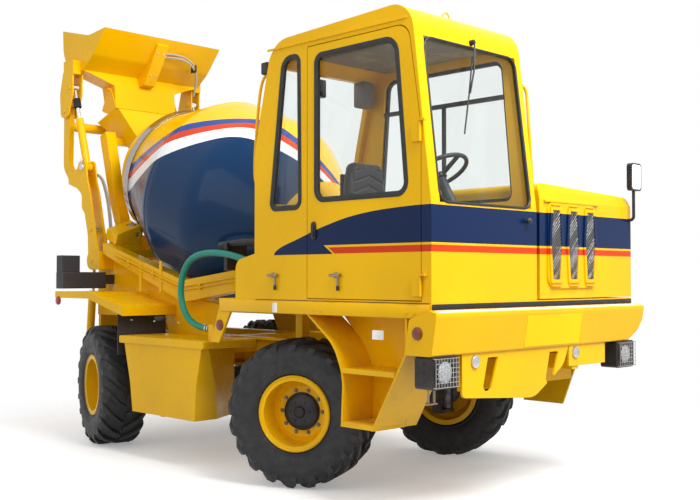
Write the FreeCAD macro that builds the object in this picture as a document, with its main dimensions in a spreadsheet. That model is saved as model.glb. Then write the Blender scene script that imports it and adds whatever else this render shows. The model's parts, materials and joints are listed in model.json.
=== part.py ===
"""Self-loading concrete mixer, as a parametric FreeCAD document.

Millimetres.  +X points forward, +Y to the left, +Z up; the origin lies on the floor below the
middle of the whole machine.  Every sub-part is one object of the document, its Label names its
STEP file in parts/, and its sizes follow the cells of the sheet "Sizes".
"""
import FreeCAD, Part
import math
import os
import re
import Sketcher

SIZES = {
    # running gear
    "axle_front": 1135,          # centre of the front axle, forward of the origin
    "axle_rear": -1395,
    "tyre_dia": 1075,
    "tyre_width": 410,
    "rim_dia": 550,
    "rim_barrel": 485,
    "hub_dia": 250,
    "kingpin_side": 800,         # kingpins, out from the centre plane
    "kingpin_reach": 115,        # wheel centre, out from its kingpin
    "steer_front": 26,           # stored steering angles, anticlockwise seen from above
    "steer_rear": -17,
    "axle_tube": 150,
    "axle_pad": 12,
    "fork_half": 172,            # kingpin fork, up and down from the axle
    "fork_wide": 90,
    "pin_play": 1,               # bores are this much wider than their pins
    "rim_width": 330,
    "rim_wall": 8,
    "seat_gap": 0.3,             # between pieces that seat on each other
    # chassis
    "rail_side": 370,
    "rail_width": 100,
    "rail_top": 1010,
    "rail_deep": 250,
    "rail_rear": -2110,
    "rail_front": 2480,
    "tow_height": 860,
    "tow_hole": 40,
    "plate": 20,
    "deck_top": 1360,
    "deck_deep": 100,
    "deck_rear": 550,
    "body_half": 1190,           # cab and hood sides, out from the centre plane
    "bumper_half": 1240,
    "front_face": 2670,
    "bumper_front": 2750,
    # cab
    "cab_inner": -75,            # inner side of the cab
    "cab_rear": 972,
    "cab_wall": 45,
    "cab_sill": 1975,
    "cab_seam": 3150,            # joint between the shell and the roof
    "cab_top": 3285,
    "door_rear": 1545,
    "door_front": 2585,
    "door_gap": 6,
    "hinge_out": 16,             # door hinge line, out from the cab's side
    "glass": 8,
    # hood
    "hood_rear": 1080,
    "hood_inner": -40,
    "hood_top": 2150,
    "hood_wall": 30,
    "hood_hinge_x": 1120,
    "hood_hinge_z": 2070,
    # drum
    "drum_x": -270,              # largest ring of the front cone
    "drum_z": 2070,
    "drum_tilt": 18.8,
    "drum_half": 886,
    "drum_shell": 14,
    "ring_half": 666,
    "ring_place": -1390,
    "ring_wide": 80,
    "mouth_place": -1640,
    "mouth_half": 540,
    "roller_dia": 170,
    "roller_spread": 38,
    "roller_gap": 5,
    "roller_wide": 80,
    "roller_front": -1300,       # housing, along the drum's axis
    "roller_back": -1500,
    "roller_floor": 700,         # housing's underside, below the drum's axis
    "head_place": 930,
    "head_half": 330,
    "band_place": -655,
    "band_half": 911,
    "gear_plate": 1000,
    "hopper_top": 3200,
    "hopper_rear": -2620,
    "hopper_front": -2030,
    "hopper_half": 480,
    "hopper_wall": 8,
    "hopper_slope": 120,  # rear edge lower than the front, clear of the open gate
    "chute_x": -2200,
    "chute_z": 1700,
    # drum cradle
    "beam_in": 650,
    "beam_wide": 125,
    # loader
    "arm_side": 725,
    "arm_gap": 88,
    "arm_plate": 14,
    "boom_x": -1975,
    "boom_z": 1680,
    "lift_pin_x": -2029,
    "lift_pin_z": 1985,
    "lift_base_x": -2149,
    "lift_base_z": 695,
    "bucket_x": -2560,
    "bucket_z": 3200,
    "tilt_base_x": -2200,
    "tilt_base_z": 2605,
    "tilt_pin_x": -2460,
    "tilt_pin_z": 3430,
    "pin_dia": 50,
    "bucket_half": 700,
    "bucket_wall": 10,
    "spout_half": 366,
    "spout_top": 3478,
    "spout_low": 3262,
    "gate_x": -2370,
    "gate_z": 3450,
    "gate_reach": 220,
    # tanks
    "tank_front": 340,
    "tank_rear": -860,
    "tank_top": 1018,
    "tank_low": 385,
    "tank_in": 655,
    "chute_wall": 10,
    "spindle_dia": 80,
    "hub_back": 30,              # inner face of the hub, in from the wheel's centre
    # steering wheel
    "wheel_x": 2290,
    "wheel_side": 650,
    "wheel_z": 2190,
    "wheel_lean": 30,
    "wheel_half": 225,
    "wheel_stem": 400,
    # cylinders
    "lift_bore": 62,
    "lift_length": 690,
    "lift_engage": 80,
    "tilt_bore": 62,
    "tilt_length": 520,
    "tilt_engage": 130,
    # suction hose
    "hose_dia": 52,
    "hose_side": 1050,
    "hose_start": 720,
    "hose_start_z": 1640,
    "hose_end": 274,
    "hose_end_z": 1110,
}
FUNCTIONS = {"sin", "cos", "tan", "atan", "atan2", "sqrt", "min", "max", "abs", "deg", "vector", "rotation", "placement"}

doc = FreeCAD.newDocument("SelfLoadingMixer")
sheet = doc.addObject("Spreadsheet::Sheet", "Sizes")
for row, (name, size) in enumerate(SIZES.items(), 1):
    sheet.set(f"A{row}", name)
    sheet.set(f"B{row}", str(size))
    sheet.setAlias(f"B{row}", name)
doc.recompute()


# ---------------------------------------------------------------- drawing helpers


def words(text):
    """Point every word of a short formula at its cell in the sheet."""
    return re.sub(r"[a-z]\w+", lambda m: m.group() if m.group() in FUNCTIONS else "Sizes." + m.group(), text)


def value(owner, text):
    """Give the number that a short formula has at present."""
    result = owner.evalExpression(words(text))
    return float(getattr(result, "Value", result))


def new_body(label, place=None):
    """Start a sub-part; place is a formula for its Placement."""
    body = doc.addObject("PartDesign::Body", label)
    body.Label = label
    if place:
        body.setExpression("Placement", words(place))
    return body


def origin_part(body, role):
    """Find one of the body's own origin planes or axes."""
    return next(item for item in body.Origin.OriginFeatures if item.Role == role)


def new_sketch(body, plane, offset):
    """Start a sketch on an origin plane, moved along that plane's normal."""
    drawing = body.newObject("Sketcher::SketchObject", "outline")
    drawing.AttachmentSupport = [(origin_part(body, plane), "")]
    drawing.MapMode = "FlatFace"
    drawing.setExpression(".AttachmentOffset.Base.z", words(offset))
    return drawing


def tilted(along, up):
    """Give the place of a point that is known along and up from the drum's tilted axis."""
    across = f"drum_x + ({along})*cos(drum_tilt) + ({up})*sin(drum_tilt)"
    return across, f"drum_z - ({along})*sin(drum_tilt) + ({up})*cos(drum_tilt)"


def pin_point(drawing, item, end, across, up):
    """Hold one point of a sketch at its distances from the origin."""
    for kind, text in (("DistanceX", across), ("DistanceY", up)):
        index = drawing.addConstraint(Sketcher.Constraint(kind, -1, 1, item, end, value(drawing, text)))
        drawing.setExpression(f"Constraints[{index}]", words(text))


def rounding(before, here, after, radius):
    """Give the arc that rounds a corner, its two ends and whether it turns left."""
    to_before = (before - here).normalize()
    to_after = (after - here).normalize()
    half = to_before.getAngle(to_after) / 2
    first = here + to_before * (radius / math.tan(half))
    last = here + to_after * (radius / math.tan(half))
    centre = here + (to_before + to_after).normalize() * (radius / math.sin(half))
    left = (here - before).cross(after - here).z > 0
    ends = (first, last) if left else (last, first)
    begin, finish = (math.atan2(p.y - centre.y, p.x - centre.x) for p in ends)
    if finish < begin:
        finish += 2 * math.pi
    ring = Part.Circle(centre, FreeCAD.Vector(0, 0, 1), radius)
    return Part.ArcOfCircle(ring, begin, finish), first, last, left


def draw(drawing, corners, closed=True):
    """Draw straight runs through the corners, each (across, up) or (across, up, radius)."""
    points = [FreeCAD.Vector(value(drawing, c[0]), value(drawing, c[1]), 0) for c in corners]
    count = len(points)
    bends = {}
    leave, reach = list(points), list(points)
    for i, corner in enumerate(corners):
        if len(corner) == 3:
            radius = value(drawing, corner[2])
            bends[i] = rounding(points[i - 1], points[i], points[(i + 1) % count], radius)
            reach[i], leave[i] = bends[i][1], bends[i][2]
    runs = count if closed else count - 1
    lines = []
    for i in range(runs):
        lines.append(drawing.addGeometry(Part.LineSegment(leave[i], reach[(i + 1) % count]), False))
    for i, corner in enumerate(corners):
        if not closed and i in (0, count - 1):
            end = (lines[0], 1) if i == 0 else (lines[-1], 2)
            pin_point(drawing, end[0], end[1], corner[0], corner[1])
        elif i not in bends:
            drawing.addConstraint(Sketcher.Constraint("Coincident", lines[i - 1], 2, lines[i], 1))
            pin_point(drawing, lines[i], 1, corner[0], corner[1])
        else:
            arc, _, _, left = bends[i]
            bend = drawing.addGeometry(arc, False)
            near, far = (1, 2) if left else (2, 1)
            drawing.addConstraint(Sketcher.Constraint("Tangent", lines[i - 1], 2, bend, near))
            drawing.addConstraint(Sketcher.Constraint("Tangent", bend, far, lines[i], 1))
            index = drawing.addConstraint(Sketcher.Constraint("Radius", bend, arc.Radius))
            drawing.setExpression(f"Constraints[{index}]", words(corner[2]))
            tip = drawing.addGeometry(Part.Point(points[i]), True)
            drawing.addConstraint(Sketcher.Constraint("PointOnObject", tip, 1, lines[i - 1]))
            drawing.addConstraint(Sketcher.Constraint("PointOnObject", tip, 1, lines[i]))
            pin_point(drawing, tip, 1, corner[0], corner[1])
    return drawing


def outline(body, plane, corners, offset="0"):
    """Draw a closed outline on an origin plane."""
    return draw(new_sketch(body, plane, offset), corners)


def box_outline(body, plane, left, right, low, high, offset="0", radius=None):
    """Draw a rectangle, with rounded corners if a radius is given."""
    corners = [(left, low), (right, low), (right, high), (left, high)]
    if radius:
        corners = [corner + (radius,) for corner in corners]
    return outline(body, plane, corners, offset)


def circle(body, plane, across, up, diameter, offset="0"):
    """Draw a circle on an origin plane."""
    drawing = new_sketch(body, plane, offset)
    size = value(drawing, diameter)
    centre = FreeCAD.Vector(value(drawing, across), value(drawing, up), 0)
    ring = drawing.addGeometry(Part.Circle(centre, FreeCAD.Vector(0, 0, 1), size / 2), False)
    index = drawing.addConstraint(Sketcher.Constraint("Diameter", ring, size))
    drawing.setExpression(f"Constraints[{index}]", words(diameter))
    pin_point(drawing, ring, 3, across, up)
    return drawing


def pad(body, drawing, length, both_ways=False, reverse=False):
    """Raise a sketch along its normal."""
    feature = body.newObject("PartDesign::Pad", "pad")
    feature.Profile = drawing
    feature.setExpression("Length", words(length))
    feature.SideType = "Symmetric" if both_ways else "One side"
    feature.Reversed = reverse
    return feature


def pocket(body, drawing, length, both_ways=False, reverse=False):
    """Cut a sketch against its normal."""
    feature = body.newObject("PartDesign::Pocket", "pocket")
    feature.Profile = drawing
    feature.setExpression("Length", words(length))
    feature.SideType = "Symmetric" if both_ways else "One side"
    feature.Reversed = reverse
    return feature


def revolve(body, drawing, axis):
    """Turn a sketch about one of the body's origin axes."""
    feature = body.newObject("PartDesign::Revolution", "turned")
    feature.Profile = drawing
    feature.ReferenceAxis = (origin_part(body, axis), [""])
    feature.Angle = 360
    return feature


def mirror(body, features, plane="XZ_Plane"):
    """Repeat features on the other side of an origin plane."""
    feature = body.newObject("PartDesign::Mirrored", "mirrored")
    feature.Originals = features
    feature.MirrorPlane = (origin_part(body, plane), [""])
    body.Tip = feature
    return feature


def ring_of(body, features, axis, count):
    """Repeat features round an origin axis."""
    feature = body.newObject("PartDesign::PolarPattern", "round")
    feature.Originals = features
    feature.Axis = (origin_part(body, axis), [""])
    feature.Angle = 360
    feature.Occurrences = count
    body.Tip = feature
    return feature


def pipe(body, plane, corners, diameter, offset="0"):
    """Sweep a round bar along straight runs and bends in one plane."""
    route = draw(new_sketch(body, plane, offset), corners, closed=False)
    section = body.newObject("Sketcher::SketchObject", "section")
    section.AttachmentSupport = [(route, "Edge1")]
    section.MapMode = "NormalToEdge"
    section.MapPathParameter = 0
    size = value(section, diameter)
    ring = section.addGeometry(Part.Circle(FreeCAD.Vector(), FreeCAD.Vector(0, 0, 1), size / 2), False)
    section.addConstraint(Sketcher.Constraint("Coincident", ring, 3, -1, 1))
    index = section.addConstraint(Sketcher.Constraint("Diameter", ring, size))
    section.setExpression(f"Constraints[{index}]", words(diameter))
    feature = body.newObject("PartDesign::AdditivePipe", "pipe")
    feature.Profile = section
    feature.Spine = (route, [])
    feature.Mode = "Frenet"
    feature.Transition = "Transformed"
    return feature


def loft(body, drawings, cut=False):
    """Blend from one sketch to the next, as material or as a cut."""
    kind = "PartDesign::SubtractiveLoft" if cut else "PartDesign::AdditiveLoft"
    feature = body.newObject(kind, "loft")
    feature.Profile = drawings[0]
    feature.Sections = drawings[1:]
    feature.Ruled = True
    return feature


# ---------------------------------------------------------------- chassis


def chassis_frame():
    """Two rails with cross-members, and the rear risers that carry the drum cradle and the boom."""
    body = new_body("chassis_frame")
    side = "rail_side + rail_width/2"
    rail = pad(body, box_outline(body, "XZ_Plane", "rail_rear", "rail_front", "rail_top - rail_deep", "rail_top",
                                 side), "rail_width", reverse=True)
    hollow = pocket(body, box_outline(body, "XZ_Plane", "rail_rear", "rail_front", "rail_top - rail_deep + plate",
                                      "rail_top - plate", "rail_side + rail_width/2"), "rail_width - plate/2")
    mirror(body, [rail, hollow])
    for rear, front, low, high in (
        ("rail_rear", "rail_rear + 40", "rail_top - rail_deep", "rail_top + 160"),
        ("-330", "-210", "rail_top - 200", "rail_top"),
        ("rail_front - 60", "rail_front", "rail_top - rail_deep", "rail_top + 60"),
    ):
        pad(body, box_outline(body, "XZ_Plane", rear, front, low, high), "2*beam_in - 20", both_ways=True)
    pad(body, box_outline(body, "XY_Plane", "rail_rear - 80", "rail_rear + 10", "-60", "60", "tow_height"), "25")
    pocket(body, circle(body, "XY_Plane", "rail_rear - 40", "0", "tow_hole", "tow_height + 30"), "40")
    for centre in ("axle_front", "axle_rear"):
        saddle = [
            (f"{centre} - 80", "tyre_dia/2 + axle_tube/2 + axle_pad"),
            (f"{centre} + 80", "tyre_dia/2 + axle_tube/2 + axle_pad"),
            (f"{centre} + 110", "rail_top - rail_deep + 30"),
            (f"{centre} - 110", "rail_top - rail_deep + 30"),
        ]
        block = pad(body, outline(body, "XZ_Plane", saddle, "rail_side + 40"), "80", reverse=True)
        mirror(body, [block])
    riser = [
        ("rail_rear", "1150"),
        ("-960", "1150"),
        ("-840", "rail_top - 100"),
        ("-210", "rail_top - 100"),
        ("-160", "1290"),
        ("-500", "1330"),
        ("-1685", "1700"),
        ("-1815", "1700"),
        ("boom_x + 60", "boom_z + 140", "60"),
        ("boom_x - 95", "boom_z + 140", "90"),
        ("rail_rear", "boom_z - 160", "60"),
    ]
    panel = pad(body, outline(body, "XZ_Plane", riser, "beam_in - plate"), "plate")
    cheek = [
        ("boom_x - 85", "boom_z - 90", "80"),
        ("boom_x + 145", "boom_z - 90"),
        ("boom_x + 145", "boom_z + 85"),
        ("boom_x - 85", "boom_z + 85", "80"),
    ]
    outer = pad(body, outline(body, "XZ_Plane", cheek, "arm_side + arm_gap/2 + arm_plate + 7"), "16")
    tie = pad(body, box_outline(body, "XZ_Plane", "boom_x + 120", "boom_x + 145", "boom_z - 90", "boom_z + 85",
                                "beam_in - 10"), "arm_side + arm_gap/2 + arm_plate + 20 - beam_in")
    pin = pad(body, circle(body, "XZ_Plane", "boom_x", "boom_z", "pin_dia", "beam_in - 14"),
              "arm_side + arm_gap/2 + arm_plate + 42 - beam_in")
    foot = [
        ("lift_base_x - 50", "lift_base_z - 50", "48"),
        ("rail_rear + 38", "lift_base_z - 50"),
        ("rail_rear + 38", "lift_base_z + 120"),
        ("lift_base_x - 50", "lift_base_z + 50", "48"),
    ]
    ears = [pad(body, outline(body, "XZ_Plane", foot, f"arm_side {shift}"), "14") for shift in ("- 62", "+ 48")]
    cross = pad(body, box_outline(body, "XZ_Plane", "rail_rear + 18", "rail_rear + 38", "lift_base_z - 50",
                                  "lift_base_z + 120", "rail_side"), "arm_side + 62 - rail_side")
    lower_pin = pad(body, circle(body, "XZ_Plane", "lift_base_x", "lift_base_z", "pin_dia", "arm_side - 62"), "132")
    hangers = []
    for place in ("-640", "-120"):
        hangers.append(pad(body, box_outline(body, "XZ_Plane", place, f"{place} + 80", "rail_top - 130",
                                             "rail_top - 50", "rail_side - rail_width/2"), "tank_in - rail_side + rail_width/2"))
    mirror(body, [panel, outer, tie, pin] + ears + [cross, lower_pin] + hangers)


def drum_cradle():
    """V-shaped box beams from the risers to the drum's gearbox, with their cross-members."""
    body = new_body("drum_cradle")
    beam = [
        ("-1820", "1740"),
        ("-510", "1300"),
        ("780", "1480"),
        ("780", "1640"),
        ("-510", "1490"),
        ("-1820", "1845"),
    ]
    side = pad(body, outline(body, "XZ_Plane", beam, "beam_in"), "beam_wide")
    mirror(body, [side])
    members = (
        ("-1800", "-1690", "1705", "1785"),
        ("620", "780", "1460", "1520"),
    )
    for rear, front, low, high in members:
        pad(body, box_outline(body, "XZ_Plane", rear, front, low, high), "2*beam_in + 20", both_ways=True)
    foot, head = tilted("gear_plate + 24.3", "-236"), tilted("gear_plate + 24.3", "60")
    gusset = pad(body, outline(body, "XZ_Plane", [(f"{foot[0]} + 4", "1510"), ("775", "1510"), head], "223"), "16")
    floor = [(place, f"drum_z - ({place} - drum_x)*tan(drum_tilt) - (roller_floor + 0.3)/cos(drum_tilt)")
             for place in ("-1705", "-1795")]
    pedestal = pad(body, outline(body, "XZ_Plane", [("-1795", "1775"), ("-1705", "1775")] + floor, "420"), "250")
    mirror(body, [gusset, pedestal])
    arm = [
        ("-1780", "1710"),
        ("-1780", "1780"),
        ("-1850", "1780"),
        ("-1960", "chute_z - 10"),
        ("chute_x - 50", "chute_z - 10", "20"),
        ("chute_x - 50", "chute_z - 60", "20"),
        ("-1900", "chute_z - 60"),
    ]
    pad(body, outline(body, "XZ_Plane", arm), "100", both_ways=True)
    pad(body, circle(body, "XY_Plane", "chute_x", "0", "pin_dia", "chute_z - 12"), "62")
    for bend in ("-1180", "-860"):
        strap = pad(body, box_outline(body, "XZ_Plane", bend, f"{bend} + 40", "1380", "1660",
                                      "beam_in + beam_wide - 4"), "12")
        mirror(body, [strap])


def axles():
    """Both axle tubes with their differentials, spring pads and the forks that hold the kingpins."""
    body = new_body("axles")
    height = "tyre_dia/2"
    for centre in ("axle_front", "axle_rear"):
        pad(body, circle(body, "XZ_Plane", centre, height, "axle_tube"), "2*(kingpin_side - 105)", both_ways=True)
        bulge = body.newObject("PartDesign::AdditiveSphere", "differential")
        bulge.setExpression("Radius", words("axle_tube * 1.3"))
        bulge.setExpression(".AttachmentOffset.Base.x", words(centre))
        bulge.setExpression(".AttachmentOffset.Base.z", words(height))
        bulge.AttachmentSupport = [(origin_part(body, "XY_Plane"), "")]
        bulge.MapMode = "FlatFace"
        web = pad(body, box_outline(body, "XZ_Plane", f"{centre} - fork_wide/2", f"{centre} + fork_wide/2",
                                    f"{height} - fork_half", f"{height} + fork_half", "kingpin_side - 140",
                                    "30"), "26")
        top_arm = pad(body, box_outline(body, "XZ_Plane", f"{centre} - fork_wide/2", f"{centre} + fork_wide/2",
                                        f"{height} + fork_half - 30", f"{height} + fork_half",
                                        "kingpin_side - 130"), "175")
        low_arm = pad(body, box_outline(body, "XZ_Plane", f"{centre} - fork_wide/2", f"{centre} + fork_wide/2",
                                        f"{height} - fork_half", f"{height} - fork_half + 30",
                                        "kingpin_side - 130"), "175")
        bore = pocket(body, circle(body, "XY_Plane", centre, "-kingpin_side", "pin_dia + pin_play",
                                   f"{height} + fork_half + 10"), "2*fork_half + 20")
        seat = pad(body, box_outline(body, "XZ_Plane", f"{centre} - 60", f"{centre} + 60", height,
                                     f"{height} + axle_tube/2 + axle_pad", "rail_side - 40"), "80")
        mirror(body, [web, top_arm, low_arm, bore, seat])


def water_tank():
    """Side tank with a flanged lid and waisted ends that clear the wheels."""
    body = new_body("water_tank")
    shell = [
        ("tank_rear + 60", "tank_top - 60"),
        ("tank_rear + 150", "tank_low + 250", "400"),
        ("tank_rear + 190", "tank_low"),
        ("tank_front - 125", "tank_low"),
        ("tank_front - 110", "tank_low + 260", "400"),
        ("tank_front - 40", "tank_top - 60"),
    ]
    pad(body, outline(body, "XZ_Plane", shell, "body_half - 20"), "body_half - 20 - tank_in", reverse=True)
    box = box_outline(body, "XZ_Plane", "tank_rear", "tank_front", "tank_top - 62", "tank_top", "body_half - 5",
                      radius="14")
    pad(body, box, "body_half - 5 - tank_in", reverse=True)
    scoop = outline(body, "XY_Plane", [
        ("axle_front", "-body_half - 30"),
        ("tank_front + 30", "-body_half - 30"),
        ("tank_front - 190", "-(body_half - 350)", "200"),
        ("tank_front - 360", "-(body_half - 700)"),
        ("axle_front", "-(body_half - 700)"),
    ], "tank_top - 62")
    pocket(body, scoop, "tank_top")
    pad(body, box_outline(body, "XZ_Plane", "hose_end + 0.3", "hose_end + 70", "tank_top - 10",
                          "hose_end_z + 35", "hose_side + 35"), "70", reverse=True)
    pad(body, circle(body, "XY_Plane", "-390", "-(body_half - 150)", "60", "tank_low - 30"), "60")


def fuel_tank():
    """Fuel and oil tank on the engine side, the twin of the water tank."""
    body = new_body("fuel_tank")
    shell = [
        ("tank_rear + 60", "tank_top - 40"),
        ("tank_rear + 190", "tank_low", "60"),
        ("tank_front - 125", "tank_low", "60"),
        ("tank_front - 60", "tank_top - 40"),
    ]
    pad(body, outline(body, "XZ_Plane", shell, "-(body_half - 20)"), "body_half - 20 - tank_in")
    pad(body, box_outline(body, "XZ_Plane", "tank_rear", "tank_front", "tank_top - 42", "tank_top",
                          "-(body_half - 5)", radius="12"), "body_half - 5 - tank_in")
    scoop = outline(body, "XY_Plane", [
        ("axle_front", "body_half + 30"),
        ("tank_front + 30", "body_half + 30"),
        ("tank_front - 190", "body_half - 350", "200"),
        ("tank_front - 360", "body_half - 700"),
        ("axle_front", "body_half - 700"),
    ], "tank_top - 42")
    pocket(body, scoop, "tank_top")
    pad(body, circle(body, "XY_Plane", "-560", "body_half - 160", "90", "tank_top - 10"), "55")


def rear_fenders():
    """Cranked plates over the rear wheels, with a folded outer edge and front lip."""
    body = new_body("rear_fenders")
    top = [
        ("-1940", "1365"),
        ("-1360", "1365"),
        ("-800", "1245"),
        ("-800", "1185"),
        ("-780", "1185"),
        ("-780", "1265"),
        ("-1360", "1385"),
        ("-1940", "1385"),
    ]
    cover = pad(body, outline(body, "XZ_Plane", top, "beam_in"), "body_half + 10 - beam_in")
    edge = [
        ("-1940", "1325"),
        ("-1360", "1325"),
        ("-780", "1185"),
        ("-780", "1265"),
        ("-1360", "1385"),
        ("-1940", "1385"),
    ]
    lip = pad(body, outline(body, "XZ_Plane", edge, "body_half"), "14")
    mirror(body, [cover, lip])


def mud_flaps():
    """Rubber flaps that hang ahead of the rear wheels."""
    body = new_body("mud_flaps")
    flap = pad(body, box_outline(body, "XZ_Plane", "-882", "-872", "850", "1250", "beam_in + 50"), "490")
    mirror(body, [flap])


# ---------------------------------------------------------------- front end


def cab_deck():
    """Deck beams under cab and hood with the slanted end brackets."""
    body = new_body("cab_deck")
    low = "deck_top - deck_deep"
    side = pad(body, box_outline(body, "XZ_Plane", "deck_rear", "front_face", low, "deck_top", "body_half - 60"),
               "60")
    bracket = [
        ("deck_rear", "deck_top - 50"),
        ("deck_rear + 130", "deck_top - 50"),
        ("deck_rear + 130", low),
        ("deck_rear - 10", "tank_top + 2"),
        ("deck_rear - 110", "tank_top + 2"),
    ]
    end = pad(body, outline(body, "XZ_Plane", bracket, "body_half - 26"), "20")
    mirror(body, [side, end])
    crosses = (
        ("deck_rear", "deck_rear + 80"),
        ("1560", "1650"),
        ("2300", "2390"),
        ("front_face - 80", "front_face"),
    )
    for rear, front in crosses:
        pad(body, box_outline(body, "XZ_Plane", rear, front, low, "deck_top"), "2*body_half - 100", both_ways=True)
    pad(body, box_outline(body, "XZ_Plane", "deck_rear", "front_face", "deck_top - 20", "deck_top", "60"),
        "body_half - 100")
    posts = [pad(body, box_outline(body, "XZ_Plane", place, f"{place} + 80", "rail_top", "deck_top - 30",
                                   "rail_side - 40"), "80") for place in ("deck_rear", "1560", "2300")]
    mirror(body, posts)


def front_bumper():
    """Folded bumper across the front, with side returns, skirt, lamp bracket and one cropped corner."""
    body = new_body("front_bumper")
    section = [
        ("2490", "1035"),
        ("bumper_front - 40", "1035", "15"),
        ("bumper_front", "1275", "15"),
        ("bumper_front", "1300", "8"),
        ("bumper_front - 60", "1315"),
        ("2530", "deck_top - deck_deep - 4"),
    ]
    pad(body, outline(body, "XZ_Plane", section), "2*bumper_half", both_ways=True)
    inside = [
        ("2400", "1000"),
        ("bumper_front - 66", "1000"),
        ("bumper_front - 20", "1275"),
        ("bumper_front - 20", "1290"),
        ("bumper_front - 60", "1297"),
        ("bumper_front - 75", "1400"),
        ("2400", "1400"),
    ]
    pocket(body, outline(body, "XZ_Plane", inside), "2*bumper_half - 40", both_ways=True)
    corner = [
        ("bumper_half - 240", "1000"),
        ("bumper_half + 10", "1000"),
        ("bumper_half + 10", "1210"),
        ("bumper_half - 50", "1110", "80"),
    ]
    pocket(body, outline(body, "YZ_Plane", corner, "bumper_front + 20"), "400")
    skirt = [
        ("-925", "760", "40"),
        ("-150", "700", "220"),
        ("210", "900", "160"),
        ("290", "1060"),
        ("-925", "1060"),
    ]
    pad(body, outline(body, "YZ_Plane", skirt, "bumper_front - 56"), "16", reverse=True)
    pad(body, box_outline(body, "YZ_Plane", "280", "760", "885", "1060", "bumper_front - 56"), "16", reverse=True)
    for inner in ("-720", "-20"):
        slot = [
            (inner, "785", "35"),
            (f"{inner} + 90", "785", "35"),
            (f"{inner} + 170", "1000", "10"),
            (f"{inner} + 60", "1000", "10"),
        ]
        pocket(body, outline(body, "YZ_Plane", slot, "bumper_front - 50"), "30")
    for place in ("-rail_side", "rail_side"):
        drawing = box_outline(body, "YZ_Plane", f"{place} - 40", f"{place} + 40", "rail_top - 150", "rail_top - 40",
                              "rail_front")
        pad(body, drawing, "bumper_front - 65 - rail_front")


def front_steps():
    """Step box behind the bumper with its treads, and the curved wheel plates of both sides."""
    body = new_body("front_steps")
    low = "deck_top - deck_deep"
    arch = [
        ("1535", low),
        ("1800", "1060", "330"),
        ("1890", "860", "400"),
        ("1872", "525"),
        ("1888", "525"),
        ("1906", "864", "416"),
        ("1816", "1068", "346"),
        ("1556", low),
    ]
    pad(body, outline(body, "XZ_Plane", arch, "body_half - 4"), "300", reverse=True)
    back = [
        ("1600", low),
        ("1815", "1045", "200"),
        ("1890", "840", "300"),
        ("1880", "525"),
        ("2180", "525"),
        ("2440", "1040"),
        ("2440", low),
    ]
    pad(body, outline(body, "XZ_Plane", back, "body_half - 290"), "14", reverse=True)
    for rear, front, high in (("1880", "2360", "915"), ("1880", "2190", "560")):
        pad(body, box_outline(body, "XZ_Plane", rear, front, f"{high} - 34", high, "body_half - 2"), "292",
            reverse=True)
    front = [
        ("2175", "525"),
        ("2470", "1040"),
        ("2470", low),
        ("2452", low),
        ("2452", "1044"),
        ("2155", "525"),
    ]
    pad(body, outline(body, "XZ_Plane", front, "body_half"), "420", reverse=True)
    pad(body, outline(body, "XZ_Plane", arch, "-(body_half - 4)"), "300")
    left_back = back[:4] + [("2240", "525"), ("2440", "1040"), ("2440", low)]
    pad(body, outline(body, "XZ_Plane", left_back, "-(body_half - 304)"), "14", reverse=True)


# ---------------------------------------------------------------- cab

CAB_SIDE = [
    ("cab_rear", "deck_top"),
    ("front_face", "deck_top"),
    ("front_face", "cab_sill", "500"),
    ("front_face - 165", "cab_top - 20", "190"),
    ("cab_rear + 190", "cab_top - 70", "220"),
    ("cab_rear", "2430", "700"),
]


def inner_corners(wall):
    """Give the cab's side outline moved in by one wall."""
    return [
        (f"cab_rear + {wall}", f"deck_top + {wall}"),
        (f"front_face - {wall}", f"deck_top + {wall}"),
        (f"front_face - {wall}", "cab_sill", "500"),
        (f"front_face - 165 - {wall}", f"cab_top - 20 - {wall}", "150"),
        (f"cab_rear + 190 + {wall}", f"cab_top - 70 - {wall}", "180"),
        (f"cab_rear + {wall}", "2430", "700"),
    ]


def cab_solid(body):
    """Raise the cab's closed shell and hollow it."""
    pad(body, outline(body, "XZ_Plane", CAB_SIDE, "-cab_inner"), "body_half + cab_inner")
    pocket(body, outline(body, "XZ_Plane", inner_corners("cab_wall"), "body_half - cab_wall"),
           "body_half + cab_inner - 2*cab_wall")


def door_corners(gap):
    """Give the outline of the door opening, larger than the door by a gap."""
    return [
        (f"door_rear - {gap}", f"deck_top + 14 - {gap}"),
        (f"door_front + {gap}", f"deck_top + 14 - {gap}"),
        (f"door_front + {gap}", "2460", "600"),
        (f"door_front - 105 + {gap}", f"3115 + {gap}", "110"),
        (f"door_rear - {gap}", f"3115 + {gap}", "20"),
    ]


HINGES = ("1400", "2360")
QUARTER = [("1150", "2000", "50"), ("1475", "2000", "60"), ("1462", "3080", "60"), ("1285", "3080", "90")]
LEFT_WINDOW = [("1200", "2050", "60"), ("2500", "2050", "60"), ("2410", "3060", "90"), ("1280", "3060", "90")]
DOOR_WINDOW = [("1625", "2040", "80"), ("2478", "2040", "80"), ("2385", "3050", "110"), ("1625", "3050", "60")]


def inset(corners, gap):
    """Move the corners of a window, from its lower left round, inward by a gap."""
    ways = (("+", "+"), ("-", "+"), ("-", "-"), ("+", "-"))
    return [(f"{c[0]} {a} {gap}", f"{c[1]} {b} {gap}") + c[2:] for c, (a, b) in zip(corners, ways)]


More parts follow.
